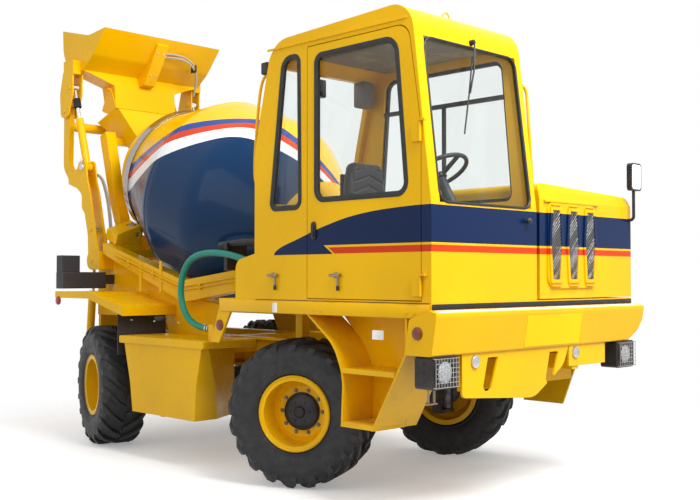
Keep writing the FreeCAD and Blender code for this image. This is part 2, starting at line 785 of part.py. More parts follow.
def cab_shell():
    """Hollow cab below the roof joint, with its window and door openings."""
    body = new_body("cab_shell")
    cab_solid(body)
    pocket(body, box_outline(body, "XZ_Plane", "cab_rear - 50", "front_face + 50", "cab_seam", "cab_top + 50",
                             "body_half + 10"), "body_half + 100")
    pocket(body, outline(body, "XZ_Plane", door_corners("door_gap"), "body_half + 10"), "cab_wall + 20")
    pocket(body, outline(body, "XZ_Plane", QUARTER, "body_half + 10"), "cab_wall + 20")
    pocket(body, outline(body, "XZ_Plane", LEFT_WINDOW, "-cab_inner + cab_wall + 10"), "cab_wall + 20")
    screen = box_outline(body, "YZ_Plane", "-(body_half - 85)", "cab_inner - 60", "cab_sill + 10", "3045",
                         "front_face + 10")
    pocket(body, screen, "260")
    rear = box_outline(body, "YZ_Plane", "-(body_half - 110)", "cab_inner - 90", "2060", "3040", "cab_rear + 240")
    pocket(body, rear, "260")
    tail = [
        ("750", "deck_top"),
        ("cab_rear + 10", "deck_top"),
        ("cab_rear + 10", "1690"),
        ("cab_rear", "1690"),
        ("750", "1640", "80"),
    ]
    pad(body, outline(body, "XZ_Plane", tail, "body_half"), "40", reverse=True)
    shelf = box_outline(body, "XZ_Plane", "760", "cab_rear + 10", "deck_top", "deck_top + 22", "body_half - 20")
    pad(body, shelf, "240", reverse=True)
    door_hinges(body)


def cab_roof():
    """Roof cap above the seam, rounded down at both ends."""
    body = new_body("cab_roof")
    cab_solid(body)
    pocket(body, box_outline(body, "XZ_Plane", "cab_rear - 50", "front_face + 50", "deck_top - 50", "cab_seam",
                             "body_half + 10"), "body_half + 100")
    gutter = box_outline(body, "XZ_Plane", "cab_rear + 150", "front_face - 200", "cab_seam", "cab_seam + 14",
                         "body_half")
    pad(body, gutter, "8")


def cab_glass():
    """Fixed panes: windscreen, rear window, quarter window and left window."""
    body = new_body("cab_glass")
    lean = [
        ("front_face - 18 - glass", "cab_sill + 10 + seat_gap"),
        ("front_face - 18", "cab_sill + 10 + seat_gap"),
        ("front_face - 152", "3045 - seat_gap"),
        ("front_face - 152 - glass", "3045 - seat_gap"),
    ]
    pad(body, outline(body, "XZ_Plane", lean, "-cab_inner + 60 + seat_gap"),
        "body_half + cab_inner - 145 - 2*seat_gap")
    pad(body, outline(body, "XZ_Plane", inset(QUARTER, "seat_gap"), "body_half - 30"), "glass")
    pad(body, outline(body, "XZ_Plane", inset(LEFT_WINDOW, "seat_gap"), "-cab_inner + 22"), "glass")
    rear = [
        ("cab_rear + 20", "2060 + seat_gap"),
        ("cab_rear + 20 + glass", "2060 + seat_gap"),
        ("cab_rear + 20 + glass", "2430", "700"),
        ("cab_rear + 167 + glass", "3040 - seat_gap"),
        ("cab_rear + 167", "3040 - seat_gap"),
        ("cab_rear + 20", "2430", "700"),
    ]
    pad(body, outline(body, "XZ_Plane", rear, "-cab_inner + 90 + seat_gap"),
        "body_half + cab_inner - 200 - 2*seat_gap")


def door_hinges(body):
    """Add the ears and pins that hold the door to the cab's front post."""
    for low in HINGES:
        pad(body, box_outline(body, "XZ_Plane", "door_front + door_gap + 8", "door_front + 50", f"{low} + 126",
                              f"{low} + 140", "body_half - 2"), "hinge_out + 12")
        pad(body, box_outline(body, "XZ_Plane", "door_front - 4", "door_front + 20", f"{low} + 126",
                              f"{low} + 140", "body_half + 6"), "hinge_out + 4")
        pad(body, circle(body, "XY_Plane", "door_front + door_gap + 1", "-body_half - hinge_out", "10",
                         f"{low} + 70"), "62")


def cab_door():
    """Door as thick as the cab wall, with its window cut and two hinge barrels."""
    body = new_body("cab_door")
    pad(body, outline(body, "XZ_Plane", door_corners("0"), "body_half - cab_wall"), "cab_wall")
    pocket(body, outline(body, "XZ_Plane", DOOR_WINDOW, "body_half + 10"), "cab_wall + 20")
    for low in HINGES:
        pad(body, box_outline(body, "XZ_Plane", "door_front - 60", "door_front + 2", low, f"{low} + 120",
                              "body_half - 2"), "hinge_out + 8")
        pad(body, circle(body, "XY_Plane", "door_front + door_gap + 1", "-body_half - hinge_out", "20", low), "120")
        pocket(body, circle(body, "XY_Plane", "door_front + door_gap + 1", "-body_half - hinge_out",
                            "10 + pin_play", f"{low} + 130"), "80")


def door_glass():
    """Pane of the door."""
    body = new_body("door_glass")
    pad(body, outline(body, "XZ_Plane", inset(DOOR_WINDOW, "seat_gap"), "body_half - 30"), "glass")


# ---------------------------------------------------------------- hood and engine


def engine_hood():
    """Hood that tilts up about its rear edge, hollow below, with three vents in its front."""
    body = new_body("engine_hood")
    section = [
        ("hood_inner", "deck_top + 8"),
        ("body_half", "deck_top + 8"),
        ("body_half", "hood_top - 20", "110"),
        ("hood_inner", "hood_top + 30", "60"),
    ]
    pad(body, outline(body, "YZ_Plane", section, "hood_rear + 22"), "front_face - hood_rear - 22")
    inside = [
        ("hood_inner + hood_wall", "deck_top - 20"),
        ("body_half - hood_wall", "deck_top - 20"),
        ("body_half - hood_wall", "hood_top - 20 - hood_wall", "90"),
        ("hood_inner + hood_wall", "hood_top + 30 - hood_wall", "40"),
    ]
    pocket(body, outline(body, "YZ_Plane", inside, "hood_rear"), "front_face - hood_rear - hood_wall",
           reverse=True)
    nose = [
        ("front_face - 40", "hood_top + 60"),
        ("front_face + 20", "hood_top + 60"),
        ("front_face + 20", "hood_top - 90"),
        ("front_face", "hood_top - 90"),
        ("front_face - 12", "hood_top - 25"),
    ]
    pocket(body, outline(body, "XZ_Plane", nose, "-body_half - 20"), "body_half - hood_inner + 60", reverse=True)
    frame = box_outline(body, "YZ_Plane", "45", "660", "1440", "2060", "front_face - 5", "90")
    pad(body, frame, "17")
    for place in ("74", "294", "514"):
        vent = [
            (place, "1560"),
            (f"{place} + 65", "1496"),
            (f"{place} + 130", "1560"),
            (f"{place} + 130", "1930"),
            (f"{place} + 65", "1994"),
            (place, "1930"),
        ]
        pocket(body, outline(body, "YZ_Plane", vent, "front_face + 20"), "hood_wall + 30")
    for start, top in (("-hood_inner - 240 - 18", "hood_top + 8"), ("-body_half + 240 + 6", "hood_top - 20")):
        tab = [
            ("hood_hinge_x - 16", "hood_hinge_z - 16", "14"),
            ("hood_hinge_x + 16", "hood_hinge_z - 16", "14"),
            ("hood_hinge_x + 16", top),
            ("hood_hinge_x - 16", top),
        ]
        pad(body, outline(body, "XZ_Plane", tab, start), "12")
    pocket(body, circle(body, "XZ_Plane", "hood_hinge_x", "hood_hinge_z", "20 + pin_play", "-hood_inner - 200"),
           "body_half - hood_inner - 400", reverse=False)


def engine_bulkhead():
    """Fixed rear wall of the engine bay, with the ears that carry the hood."""
    body = new_body("engine_bulkhead")
    pad(body, box_outline(body, "YZ_Plane", "hood_inner", "body_half", "deck_top", "hood_hinge_z - 20",
                          "hood_rear - 10", "20"), "20")
    ear = [
        ("hood_rear - 10", "hood_hinge_z - 60"),
        ("hood_rear + 10", "hood_hinge_z - 60"),
        ("hood_hinge_x + 20", "hood_hinge_z - 20", "18"),
        ("hood_hinge_x + 20", "hood_hinge_z + 20", "18"),
        ("hood_hinge_x - 20", "hood_hinge_z + 20", "18"),
        ("hood_rear - 10", "hood_hinge_z - 24"),
    ]
    for start, side in (("-hood_inner - 240", 1), ("-body_half + 240", -1)):
        pad(body, outline(body, "XZ_Plane", ear, start), "14", reverse=side < 0)
        pad(body, circle(body, "XZ_Plane", "hood_hinge_x", "hood_hinge_z", "20", start), "40", reverse=side > 0)


def engine_block():
    """The engine as one plain block on the deck's cross-beams."""
    body = new_body("engine_block")
    pad(body, box_outline(body, "XZ_Plane", "1300", "2360", "deck_top", "1950", "-880", "60"), "720")


def mirror_arm():
    """Mirror on its bent arm, at the front corner of the hood."""
    body = new_body("mirror")
    face = [
        ("body_half - 110", "2185", "30"),
        ("body_half + 42", "2185", "30"),
        ("body_half + 42", "2398", "30"),
        ("body_half - 110", "2398", "30"),
    ]
    pad(body, outline(body, "YZ_Plane", face, "front_face + 32"), "40")
    pipe(body, "XZ_Plane", [("front_face", "1960"), ("front_face + 50", "1960", "30"), ("front_face + 50", "2190")],
         "24", "-(body_half - 40)")


# ---------------------------------------------------------------- cab fittings


def seat_base():
    """Seat pedestal on the cab floor."""
    body = new_body("seat_base")
    pad(body, box_outline(body, "XZ_Plane", "1560", "1960", "deck_top + cab_wall", "1690", "880", "30"), "420",
        reverse=True)
    pad(body, box_outline(body, "XZ_Plane", "1500", "1530", "1640", "2260", "830", "12"), "320", reverse=True)
    pad(body, box_outline(body, "XZ_Plane", "1500", "1600", "1640", "1690", "830"), "320", reverse=True)


def seat_cushions():
    """Seat and back cushions as plain closed solids."""
    body = new_body("seat_cushions")
    pad(body, box_outline(body, "XZ_Plane", "1545", "2010", "1690.3", "1810", "900", "50"), "460", reverse=True)
    back = [
        ("1530.3", "1835", "40"),
        ("1640", "1835", "40"),
        ("1630", "2360", "40"),
        ("1530.3", "2360", "40"),
    ]
    pad(body, outline(body, "XZ_Plane", back, "890"), "440", reverse=True)


def dashboard():
    """Console below the windscreen with the steering column."""
    body = new_body("dashboard")
    panel = [
        ("2330", "deck_top + cab_wall"),
        ("front_face - cab_wall", "deck_top + cab_wall"),
        ("front_face - cab_wall", "cab_sill - 80"),
        ("2480", "cab_sill - 40"),
        ("2400", "cab_sill - 160"),
        ("2440", "1700"),
    ]
    pad(body, outline(body, "XZ_Plane", panel, "body_half - cab_wall - 60"), "body_half - cab_wall - 260",
        reverse=True)
    column = body.newObject("PartDesign::AdditiveCylinder", "column")
    column.setExpression("Radius", "35")
    column.setExpression("Height", words("wheel_stem"))
    column.setExpression("AttachmentOffset", words(
        "placement(vector(wheel_x + wheel_stem*sin(wheel_lean) + 8*sin(wheel_lean); -wheel_side;"
        " wheel_z - wheel_stem*cos(wheel_lean) - 8*cos(wheel_lean)); rotation(vector(0; 1; 0); -wheel_lean))"))
    column.AttachmentSupport = [(origin_part(body, "XY_Plane"), "")]
    column.MapMode = "FlatFace"
    bearing = body.newObject("PartDesign::SubtractiveCylinder", "bearing")
    bearing.setExpression("Radius", "12.5")
    bearing.setExpression("Height", "90")
    bearing.setExpression("AttachmentOffset", words(
        "placement(vector(wheel_x + 78*sin(wheel_lean); -wheel_side; wheel_z - 78*cos(wheel_lean));"
        " rotation(vector(0; 1; 0); -wheel_lean))"))
    bearing.AttachmentSupport = [(origin_part(body, "XY_Plane"), "")]
    bearing.MapMode = "FlatFace"


def steering_wheel():
    """Steering wheel drawn about its own axis and laid back on its column."""
    body = new_body("steering_wheel", "placement(vector(wheel_x; -wheel_side; wheel_z);"
                                      " rotation(vector(0; 1; 0); -wheel_lean))")
    hub = [("0", "-66"), ("12", "-66"), ("12", "-2"), ("48", "-2"), ("48", "18"), ("34", "34"), ("0", "34")]
    revolve(body, outline(body, "XZ_Plane", hub), "Z_Axis")
    rim = new_sketch(body, "XZ_Plane", "0")
    ring = rim.addGeometry(Part.Circle(FreeCAD.Vector(208, 45, 0), FreeCAD.Vector(0, 0, 1), 15), False)
    rim.addConstraint(Sketcher.Constraint("Radius", ring, 15))
    pin_point(rim, ring, 3, "wheel_half - 15", "45")
    revolve(body, rim, "Z_Axis")
    spoke = outline(body, "XZ_Plane", [("30", "6"), ("wheel_half - 15", "38"), ("wheel_half - 15", "50"),
                                       ("30", "22")])
    arm = pad(body, spoke, "36", both_ways=True)
    ring_of(body, [arm], "Z_Axis", 3)


# ---------------------------------------------------------------- wheels

CORNERS = {
    "front_right": ("axle_front", -1, "steer_front"),
    "front_left": ("axle_front", 1, "steer_front"),
    "rear_right": ("axle_rear", -1, "steer_rear"),
    "rear_left": ("axle_rear", 1, "steer_rear"),
}


def knuckle(name, centre, side, steer):
    """Steering knuckle: kingpin, barrel, housing and spindle, drawn with its outer side to -Y."""
    turn = steer if side < 0 else f"{steer} + 180"
    body = new_body(f"knuckle_{name}", f"placement(vector({centre}; {side}*kingpin_side; tyre_dia/2);"
                                       f" rotation(vector(0; 0; 1); {turn}))")
    pad(body, circle(body, "XY_Plane", "0", "0", "104"), "2*fork_half - 76", both_ways=True)
    pad(body, circle(body, "XY_Plane", "0", "0", "pin_dia"), "2*fork_half", both_ways=True)
    housing = [
        ("-kingpin_reach + hub_back + 6", "spindle_dia/2"),
        ("-kingpin_reach + 2", "spindle_dia/2"),
        ("-kingpin_reach + 2", "0"),
        ("-30", "0"),
        ("-30", "70"),
        ("-kingpin_reach + hub_back + 24", "104"),
        ("-kingpin_reach + hub_back + 6", "104"),
    ]
    revolve(body, outline(body, "YZ_Plane", housing), "Y_Axis")


def wheel_place(centre, side, steer):
    """Give the Placement formula of a wheel, whose own -Y points outward."""
    turn = steer if side < 0 else f"{steer} + 180"
    return (f"placement(vector({centre} + {-side}*kingpin_reach*sin({steer});"
            f" {side}*kingpin_side + {side}*kingpin_reach*cos({steer}); tyre_dia/2);"
            f" rotation(vector(0; 0; 1); {turn}))")


def rim(name, centre, side, steer):
    """Wheel rim: barrel with both flanges, deep-set disc, hub cap and spindle bore."""
    body = new_body(f"rim_{name}", wheel_place(centre, side, steer))
    profile = [
        ("-62", "0"),
        ("-62", "hub_dia/2 - 25"),
        ("-48", "hub_dia/2"),
        ("-14", "hub_dia/2"),
        ("-14", "hub_dia/2 + 60"),
        ("0", "rim_barrel/2 - rim_wall"),
        ("-rim_width/2 - 12", "rim_barrel/2 - rim_wall"),
        ("-rim_width/2 - 12", "rim_dia/2"),
        ("-rim_width/2", "rim_dia/2"),
        ("-rim_width/2", "rim_barrel/2"),
        ("rim_width/2", "rim_barrel/2"),
        ("rim_width/2", "rim_dia/2"),
        ("rim_width/2 + 12", "rim_dia/2"),
        ("rim_width/2 + 12", "rim_barrel/2 - rim_wall"),
        ("14", "rim_barrel/2 - rim_wall"),
        ("0", "hub_dia/2 + 60"),
        ("0", "hub_dia/2 - 15"),
        ("hub_back", "hub_dia/2 - 15"),
        ("hub_back", "spindle_dia/2 + pin_play/2"),
        ("-6", "spindle_dia/2 + pin_play/2"),
        ("-6", "0"),
    ]
    revolve(body, outline(body, "YZ_Plane", profile), "Y_Axis")


def tyre(name, centre, side, steer):
    """Tyre between the rim's flanges, full to its shoulders."""
    body = new_body(f"tyre_{name}", wheel_place(centre, side, steer))
    half = [
        ("rim_width/2 - 1", "rim_barrel/2 + seat_gap"),
        ("rim_width/2 - 1", "rim_dia/2 + 2"),
        ("rim_width/2 + 20", "rim_dia/2 + 20", "14"),
        ("tyre_width/2", "tyre_dia/2 - 130", "90"),
        ("tyre_width/2", "tyre_dia/2 - 48", "20"),
        ("tyre_width/2 - 55", "tyre_dia/2", "20"),
    ]
    other = [(f"-({c[0]})",) + c[1:] for c in reversed(half)]
    revolve(body, outline(body, "YZ_Plane", half + other), "Y_Axis")


# ---------------------------------------------------------------- drum

DRUM_PLACE = "placement(vector(drum_x; 0; drum_z); rotation(vector(0; 1; 0); drum_tilt))"


def drum():
    """Double-cone drum with its track ring, open at the mouth."""
    body = new_body("drum", DRUM_PLACE)
    shell = [
        ("head_place", "0"),
        ("head_place", "head_half"),
        ("0", "drum_half", "500"),
        ("band_place", "band_half", "400"),
        ("mouth_place", "mouth_half"),
        ("mouth_place", "mouth_half - drum_shell"),
        ("band_place", "band_half - drum_shell", "400"),
        ("0", "drum_half - drum_shell", "500"),
        ("head_place - drum_shell", "head_half - drum_shell/2"),
        ("head_place - drum_shell", "0"),
    ]
    revolve(body, outline(body, "XZ_Plane", shell), "X_Axis")
    slope = "(band_half - mouth_half)/(band_place - mouth_place)"
    ring = [
        ("ring_place - ring_wide/2", f"band_half + {slope}*(ring_place - ring_wide/2 - band_place) - 6"),
        ("ring_place + ring_wide/2", f"band_half + {slope}*(ring_place + ring_wide/2 - band_place) - 6"),
        ("ring_place + ring_wide/2", "ring_half"),
        ("ring_place - ring_wide/2", "ring_half"),
    ]
    revolve(body, outline(body, "XZ_Plane", ring), "X_Axis")
    lip = [
        ("mouth_place - 6", "mouth_half - 20"),
        ("mouth_place + 34", "mouth_half - 20"),
        ("mouth_place + 34", "mouth_half + 20"),
        ("mouth_place - 6", "mouth_half + 14"),
    ]
    revolve(body, outline(body, "XZ_Plane", lip), "X_Axis")
    flange = [
        ("head_place - 10", "0"),
        ("head_place - 10", "210"),
        ("head_place + 30", "190"),
        ("head_place + 30", "60 + pin_play/2"),
        ("head_place + 4", "60 + pin_play/2"),
        ("head_place + 4", "0"),
    ]
    revolve(body, outline(body, "XZ_Plane", flange), "X_Axis")


def drum_gearbox():
    """Reduction gearbox with its mounting plate and hydraulic motor."""
    body = new_body("drum_gearbox", DRUM_PLACE)
    case = [
        ("head_place + 10", "0"),
        ("head_place + 10", "60"),
        ("head_place + 36", "60"),
        ("head_place + 36", "150"),
        ("gear_plate - 20", "205"),
        ("gear_plate + 10", "205"),
        ("gear_plate + 60", "140"),
        ("gear_plate + 90", "120"),
        ("gear_plate + 130", "80"),
        ("gear_plate + 240", "80"),
        ("gear_plate + 250", "70"),
        ("gear_plate + 250", "0"),
    ]
    revolve(body, outline(body, "XZ_Plane", case), "X_Axis")
    plate = [
        ("-240", "-232"),
        ("240", "-232"),
        ("240", "80", "60"),
        ("120", "240", "60"),
        ("-120", "240", "60"),
        ("-240", "80", "60"),
    ]
    pad(body, outline(body, "YZ_Plane", plate, "gear_plate"), "24")


ROLLER_SIDE = "(ring_half + roller_gap + roller_dia/2)*sin(roller_spread)"
ROLLER_DOWN = "-(ring_half + roller_gap + roller_dia/2)*cos(roller_spread)"


def roller_boxes():
    """Housings of the two rollers that carry the drum's track ring."""
    body = new_body("roller_boxes", DRUM_PLACE)
    case = [
        ("-455", "-500"),
        ("-690", "-600"),
        ("-690", "-roller_floor"),
        ("-400", "-roller_floor"),
    ]
    box = pad(body, outline(body, "YZ_Plane", case, "roller_back"), "roller_front - roller_back")
    nest = pocket(body, circle(body, "YZ_Plane", "-" + ROLLER_SIDE, ROLLER_DOWN, "roller_dia + 12",
                               "ring_place + roller_wide/2 + 6"), "roller_wide + 12")
    bore = pocket(body, circle(body, "YZ_Plane", "-" + ROLLER_SIDE, ROLLER_DOWN, "pin_dia + pin_play",
                               "roller_front + 5"), "roller_front - roller_back + 10")
    mirror(body, [box, nest, bore])


def roller(name, side):
    """One support roller on its shaft."""
    body = new_body(f"roller_{name}", f"placement(vector(drum_x + ring_place*cos(drum_tilt) +"
                                      f" ({ROLLER_DOWN})*sin(drum_tilt); {side}*{ROLLER_SIDE};"
                                      f" drum_z - ring_place*sin(drum_tilt) + ({ROLLER_DOWN})*cos(drum_tilt));"
                                      f" rotation(vector(0; 1; 0); drum_tilt))")
    pad(body, circle(body, "YZ_Plane", "0", "0", "roller_dia"), "roller_wide", both_ways=True)
    pad(body, circle(body, "YZ_Plane", "0", "0", "pin_dia"), "roller_front - roller_back - 44", both_ways=True)


def loading_hopper():
    """Open hopper over the drum's mouth, on two legs from the roller boxes."""
    body = new_body("loading_hopper")
    foot = tilted("roller_back - seat_gap", "-roller_floor + 12")
    knee = tilted("roller_back - seat_gap", "-560")
    leg = [
        foot,
        knee,
        ("-1882", "2110"),
        ("-1966", "2280"),
        ("-2150", "2975"),
        ("-2262", "2935"),
        ("-2070", "2260"),
        ("-1990", "2080"),
    ]
    post = pad(body, outline(body, "XZ_Plane", leg, "440"), "110")
    arm = pad(body, box_outline(body, "XZ_Plane", "-2225", "-2150", "2850", "2925", "250"), "200")
    mirror(body, [post, arm])
    pad(body, box_outline(body, "XZ_Plane", "-2300", "-2200", "2900", "2930", "470"), "50")
    levels = (
        ("hopper_top", "hopper_rear", "hopper_front", "hopper_half"),
        ("2650", "-1880", "-1780", "230"),
    )
    loft(body, [box_outline(body, "XY_Plane", rear, front, f"-{half}", half, high)
                for high, rear, front, half in levels])
    inner = [box_outline(body, "XY_Plane", f"{rear} + hopper_wall", f"{front} - hopper_wall",
                         f"-{half} + hopper_wall", f"{half} - hopper_wall", high)
             for high, rear, front, half in levels]
    inner[0].setExpression(".AttachmentOffset.Base.z", words("hopper_top + 1"))
    inner[1].setExpression(".AttachmentOffset.Base.z", "2649")
    loft(body, inner, cut=True)
    slope = [
        ("hopper_rear - 80", "hopper_top - hopper_slope - 20"),
        ("hopper_rear", "hopper_top - hopper_slope"),
        ("hopper_rear + 490", "hopper_top"),
        ("hopper_rear + 490", "hopper_top + 60"),
        ("hopper_rear - 80", "hopper_top + 60"),
    ]
    pocket(body, outline(body, "XZ_Plane", slope, "hopper_half + 20"), "2*hopper_half + 40")


def discharge_chute():
    """Sloping trough that swings about an upright pin below the mouth."""
    body = new_body("discharge_chute")

    def trough(shrink, lift):
        """Give the rectangle at each end of the trough, smaller by a wall and raised."""
        return [box_outline(body, "YZ_Plane", f"-{half} + {shrink}", f"{half} - {shrink}", f"{low} + {lift}",
                            f"{low} + 150 + {lift}", place)
                for place, half, low in (("-2062", "210", "1930"), ("-2735", "160", "1300"))]

    loft(body, trough("0", "0"))
    collar = [
        ("chute_x - 45", "chute_z"),
        ("chute_x + 45", "chute_z"),
        ("chute_x + 45", "1850"),
        ("chute_x - 45", "1770"),
    ]
    pad(body, outline(body, "XZ_Plane", collar), "90", both_ways=True)
    loft(body, trough("chute_wall", "chute_wall*1.4"), cut=True)
    pocket(body, circle(body, "XY_Plane", "chute_x", "0", "pin_dia + pin_play", "chute_z"), "60", reverse=True)


# ---------------------------------------------------------------- loader


def boom():
    """Loader boom: paired lower plates, cranked upper arms, cross tube and pins."""
    body = new_body("boom")
    side = [
        ("boom_x + 95", "boom_z - 95", "90"),
        ("boom_x + 90", "boom_z + 80"),
        ("-1965", "2010", "500"),
        ("-2048", "2330", "500"),
        ("-2100", "2460", "80"),
        ("tilt_base_x + 60", "tilt_base_z + 60", "50"),
        ("tilt_base_x - 55", "tilt_base_z + 60", "50"),
        ("-2330", "2550", "80"),
        ("-2480", "2600"),
        ("-2460", "2450"),
        ("-2300", "2400", "80"),
        ("-2205", "2333", "60"),
        ("-2205", "2195", "60"),
        ("-2150", "2148", "60"),
        ("-2085", "1930", "300"),
        ("boom_x - 95", "boom_z - 95", "90"),
    ]
    plates = [pad(body, outline(body, "XZ_Plane", side, offset), "arm_plate")
              for offset in ("arm_side - arm_gap/2 - arm_plate", "arm_side + arm_gap/2")]
    elbow = [
        ("-2470", "2452"),
        ("-2310", "2412"),
        ("-2330", "2540"),
        ("-2478", "2592"),
    ]
    block = pad(body, outline(body, "XZ_Plane", elbow, "arm_side - arm_gap/2 - 2"), "arm_gap + 4")
    upper = [
        ("-2330", "2545"),
        ("-2320", "2420"),
        ("-2460", "2440", "60"),
        ("-2625", "2620", "160"),
        ("bucket_x - 62", "bucket_z + 62", "58"),
        ("bucket_x + 62", "bucket_z + 62", "58"),
        ("-2512", "2900", "600"),
        ("-2520", "2640", "90"),
        ("-2440", "2585"),
    ]
    arm = pad(body, outline(body, "XZ_Plane", upper, "arm_side - 25"), "50")
    bores = [pocket(body, circle(body, "XZ_Plane", across, up, "pin_dia + pin_play", "arm_side + 90"), "180",
                    reverse=False) for across, up in (("boom_x", "boom_z"), ("bucket_x", "bucket_z"))]
    pins = [pad(body, circle(body, "XZ_Plane", "tilt_base_x", "tilt_base_z", "pin_dia",
                             "arm_side - arm_gap/2 - arm_plate - 8"), "arm_gap + 2*arm_plate + 16")]
    caps = [pad(body, circle(body, "XZ_Plane", "lift_pin_x", "lift_pin_z", "pin_dia", offset), "arm_plate + 10")
            for offset in ("arm_side - arm_gap/2 - arm_plate - 10", "arm_side + arm_gap/2")]
    mirror(body, plates + [block, arm] + bores + pins + caps)
    pad(body, circle(body, "XZ_Plane", "bucket_x - 4", "bucket_z - 150", "96"), "2*arm_side - 40", both_ways=True)


def bucket():
    """Loading bucket: open box with a sloped top edge that narrows to a spout over the hopper."""
    body = new_body("bucket")
    side = [
        ("-2750", "4060"),
        ("-2734", "3795", "300"),
        ("-2580", "3600"),
        ("-2330", "3600"),
        ("-2151", "3723", "200"),
        ("-1930", "3960"),
        ("-2240", "3932", "300"),
    ]
    hollow = [
        ("-2740 - 100", "4200"),
        ("-2724", "3797", "290"),
        ("-2576", "3609"),
        ("-2333", "3609"),
        ("-2158", "3731", "190"),
        ("-1800", "4115"),
    ]
    pad(body, outline(body, "XZ_Plane", side), "2*bucket_half", both_ways=True)
    for offset in ("arm_side - arm_gap/2 - arm_plate", "arm_side + arm_gap/2"):
        cheek = [
            ("bucket_x - 70", "bucket_z - 70", "66"),
            ("bucket_x + 70", "bucket_z - 70", "66"),
            ("tilt_pin_x + 60", "tilt_pin_z - 60", "80"),
            ("tilt_pin_x + 60", "3592"),
            ("bucket_x - 30", "3592"),
            ("bucket_x - 90", "3380", "200"),
        ]
        plate = pad(body, outline(body, "XZ_Plane", cheek, offset), "arm_plate")
        mirror(body, [plate])
    web = box_outline(body, "XZ_Plane", "-2580", "-2390", "3560", "3700", "bucket_half - 5")
    block = pad(body, web, "arm_side + arm_gap/2 + arm_plate - bucket_half + 5")
    skin = box_outline(body, "XZ_Plane", "-2580", "-2390", "3575", "3610", "arm_side - arm_gap/2 - arm_plate - 10")
    inner = pad(body, skin, "60")
    pin = pad(body, circle(body, "XZ_Plane", "bucket_x", "bucket_z", "pin_dia",
                           "arm_side - arm_gap/2 - arm_plate - 8"), "arm_gap + 2*arm_plate + 16")
    caps = [pad(body, circle(body, "XZ_Plane", "tilt_pin_x", "tilt_pin_z", "pin_dia", offset), "arm_plate + 10")
            for offset in ("arm_side - arm_gap/2 - arm_plate - 10", "arm_side + arm_gap/2")]
    lug = pad(body, circle(body, "XZ_Plane", "gate_x", "gate_z", "36", "spout_half - 20"), "54")
    mirror(body, [block, inner, pin] + caps + [lug])

    def mouthpiece(shrink):
        """Give the rectangles of the funnel and spout, smaller by a wall."""
        return [box_outline(body, "XY_Plane", f"{rear} + {shrink}", f"{front} - {shrink}", f"-{half} + {shrink}",
                            f"{half} - {shrink}", high)
                for high, rear, front, half in (("3600", "-2580", "-2330", "bucket_half"),
                                                ("spout_top", "-2530", "-2290", "spout_half"),
                                                ("spout_low", "-2470", "-2270", "spout_half"))]

    loft(body, mouthpiece("0"))
    pocket(body, outline(body, "XZ_Plane", hollow), "2*bucket_half - 2*bucket_wall", both_ways=True)
    drawings = mouthpiece("bucket_wall")
    drawings[0].setExpression(".AttachmentOffset.Base.z", "3611")
    drawings[2].setExpression(".AttachmentOffset.Base.z", words("spout_low - 4"))
    loft(body, drawings, cut=True)
    rib = [
        ("-1976", "3914"),
        ("-2153", "3727"),
        ("-2326", "3605"),
        ("-2300", "3500"),
        ("-2215", "3515"),
        ("-1957", "3892"),
    ]
    pad(body, outline(body, "XZ_Plane", rib), "140", both_ways=True)


def bucket_gate():
    """Curved gate that swings about two lugs on the bucket's spout."""
    body = new_body("bucket_gate", "placement(vector(gate_x; 0; gate_z); rotation(vector(0; 0; 1); 0))")
    sector = [
        ("-gate_reach*sin(34) - 14", "-gate_reach*cos(34) - 24"),
        ("0", "-gate_reach - 70", "gate_reach + 10"),
        ("gate_reach*sin(34) + 14", "-gate_reach*cos(34) - 24"),
        ("26", "10", "22"),
        ("-26", "10", "22"),
    ]
    pad(body, outline(body, "XZ_Plane", sector), "2*spout_half + 32", both_ways=True)
    pocket(body, circle(body, "XZ_Plane", "0", "0", "2*gate_reach"), "2*spout_half + 12", both_ways=True)
    pocket(body, circle(body, "XZ_Plane", "0", "0", "36 + pin_play"), "2*spout_half + 100", both_ways=True)


def cylinder_pair(name, start, finish, bore, length, plate):
    """Make the barrels and the rods of a pair of cylinders, from one pin to the other."""
    (start_x, start_z), (finish_x, finish_z) = start, finish
    lean = f"atan2({finish_x} - {start_x}; {finish_z} - {start_z})"
    place = f"placement(vector({start_x}; 0; {start_z}); rotation(vector(0; 1; 0); {lean}))"
    reach = f"sqrt(({finish_x} - {start_x})^2 + ({finish_z} - {start_z})^2)"
    barrel = new_body(f"{name}_barrels", place)
    tube = pad(barrel, circle(barrel, "XY_Plane", "0", "-arm_side", f"{bore} + 14", "30"), f"{length} - 30")
    eye = pad(barrel, circle(barrel, "XZ_Plane", "0", "0", "84", "arm_side - 35"), "70")
    hollow = pocket(barrel, circle(barrel, "XY_Plane", "0", "-arm_side", bore, f"{length} + 5"),
                    f"{length} + 5 - {plate}")
    hole = pocket(barrel, circle(barrel, "XZ_Plane", "0", "0", "pin_dia + pin_play", "arm_side + 50"), "100")
    mirror(barrel, [tube, eye, hollow, hole])
    rods = new_body(f"{name}_rods", place)
    rod = pad(rods, circle(rods, "XY_Plane", "0", "-arm_side", f"{bore} - 24", f"{length} - {name}_engage"),
              f"{reach} - {length} + {name}_engage")
    piston = pad(rods, circle(rods, "XY_Plane", "0", "-arm_side", f"{bore} - 1", f"{length} - {name}_engage"), "40")
    end = pad(rods, circle(rods, "XZ_Plane", "0", reach, "76", "arm_side - 30"), "60")
    mirror(rods, [rod, piston, end])


# ---------------------------------------------------------------- lamps, rails and hoses


def head_lamps():
    """Headlamp housings below the bumper."""
    body = new_body("head_lamps")
    for left, right in (("-1232", "-985"), ("905", "1156")):
        drawing = box_outline(body, "YZ_Plane", left, right, "832", "1034.7", "bumper_front - 180", "24")
        pad(body, drawing, "136")


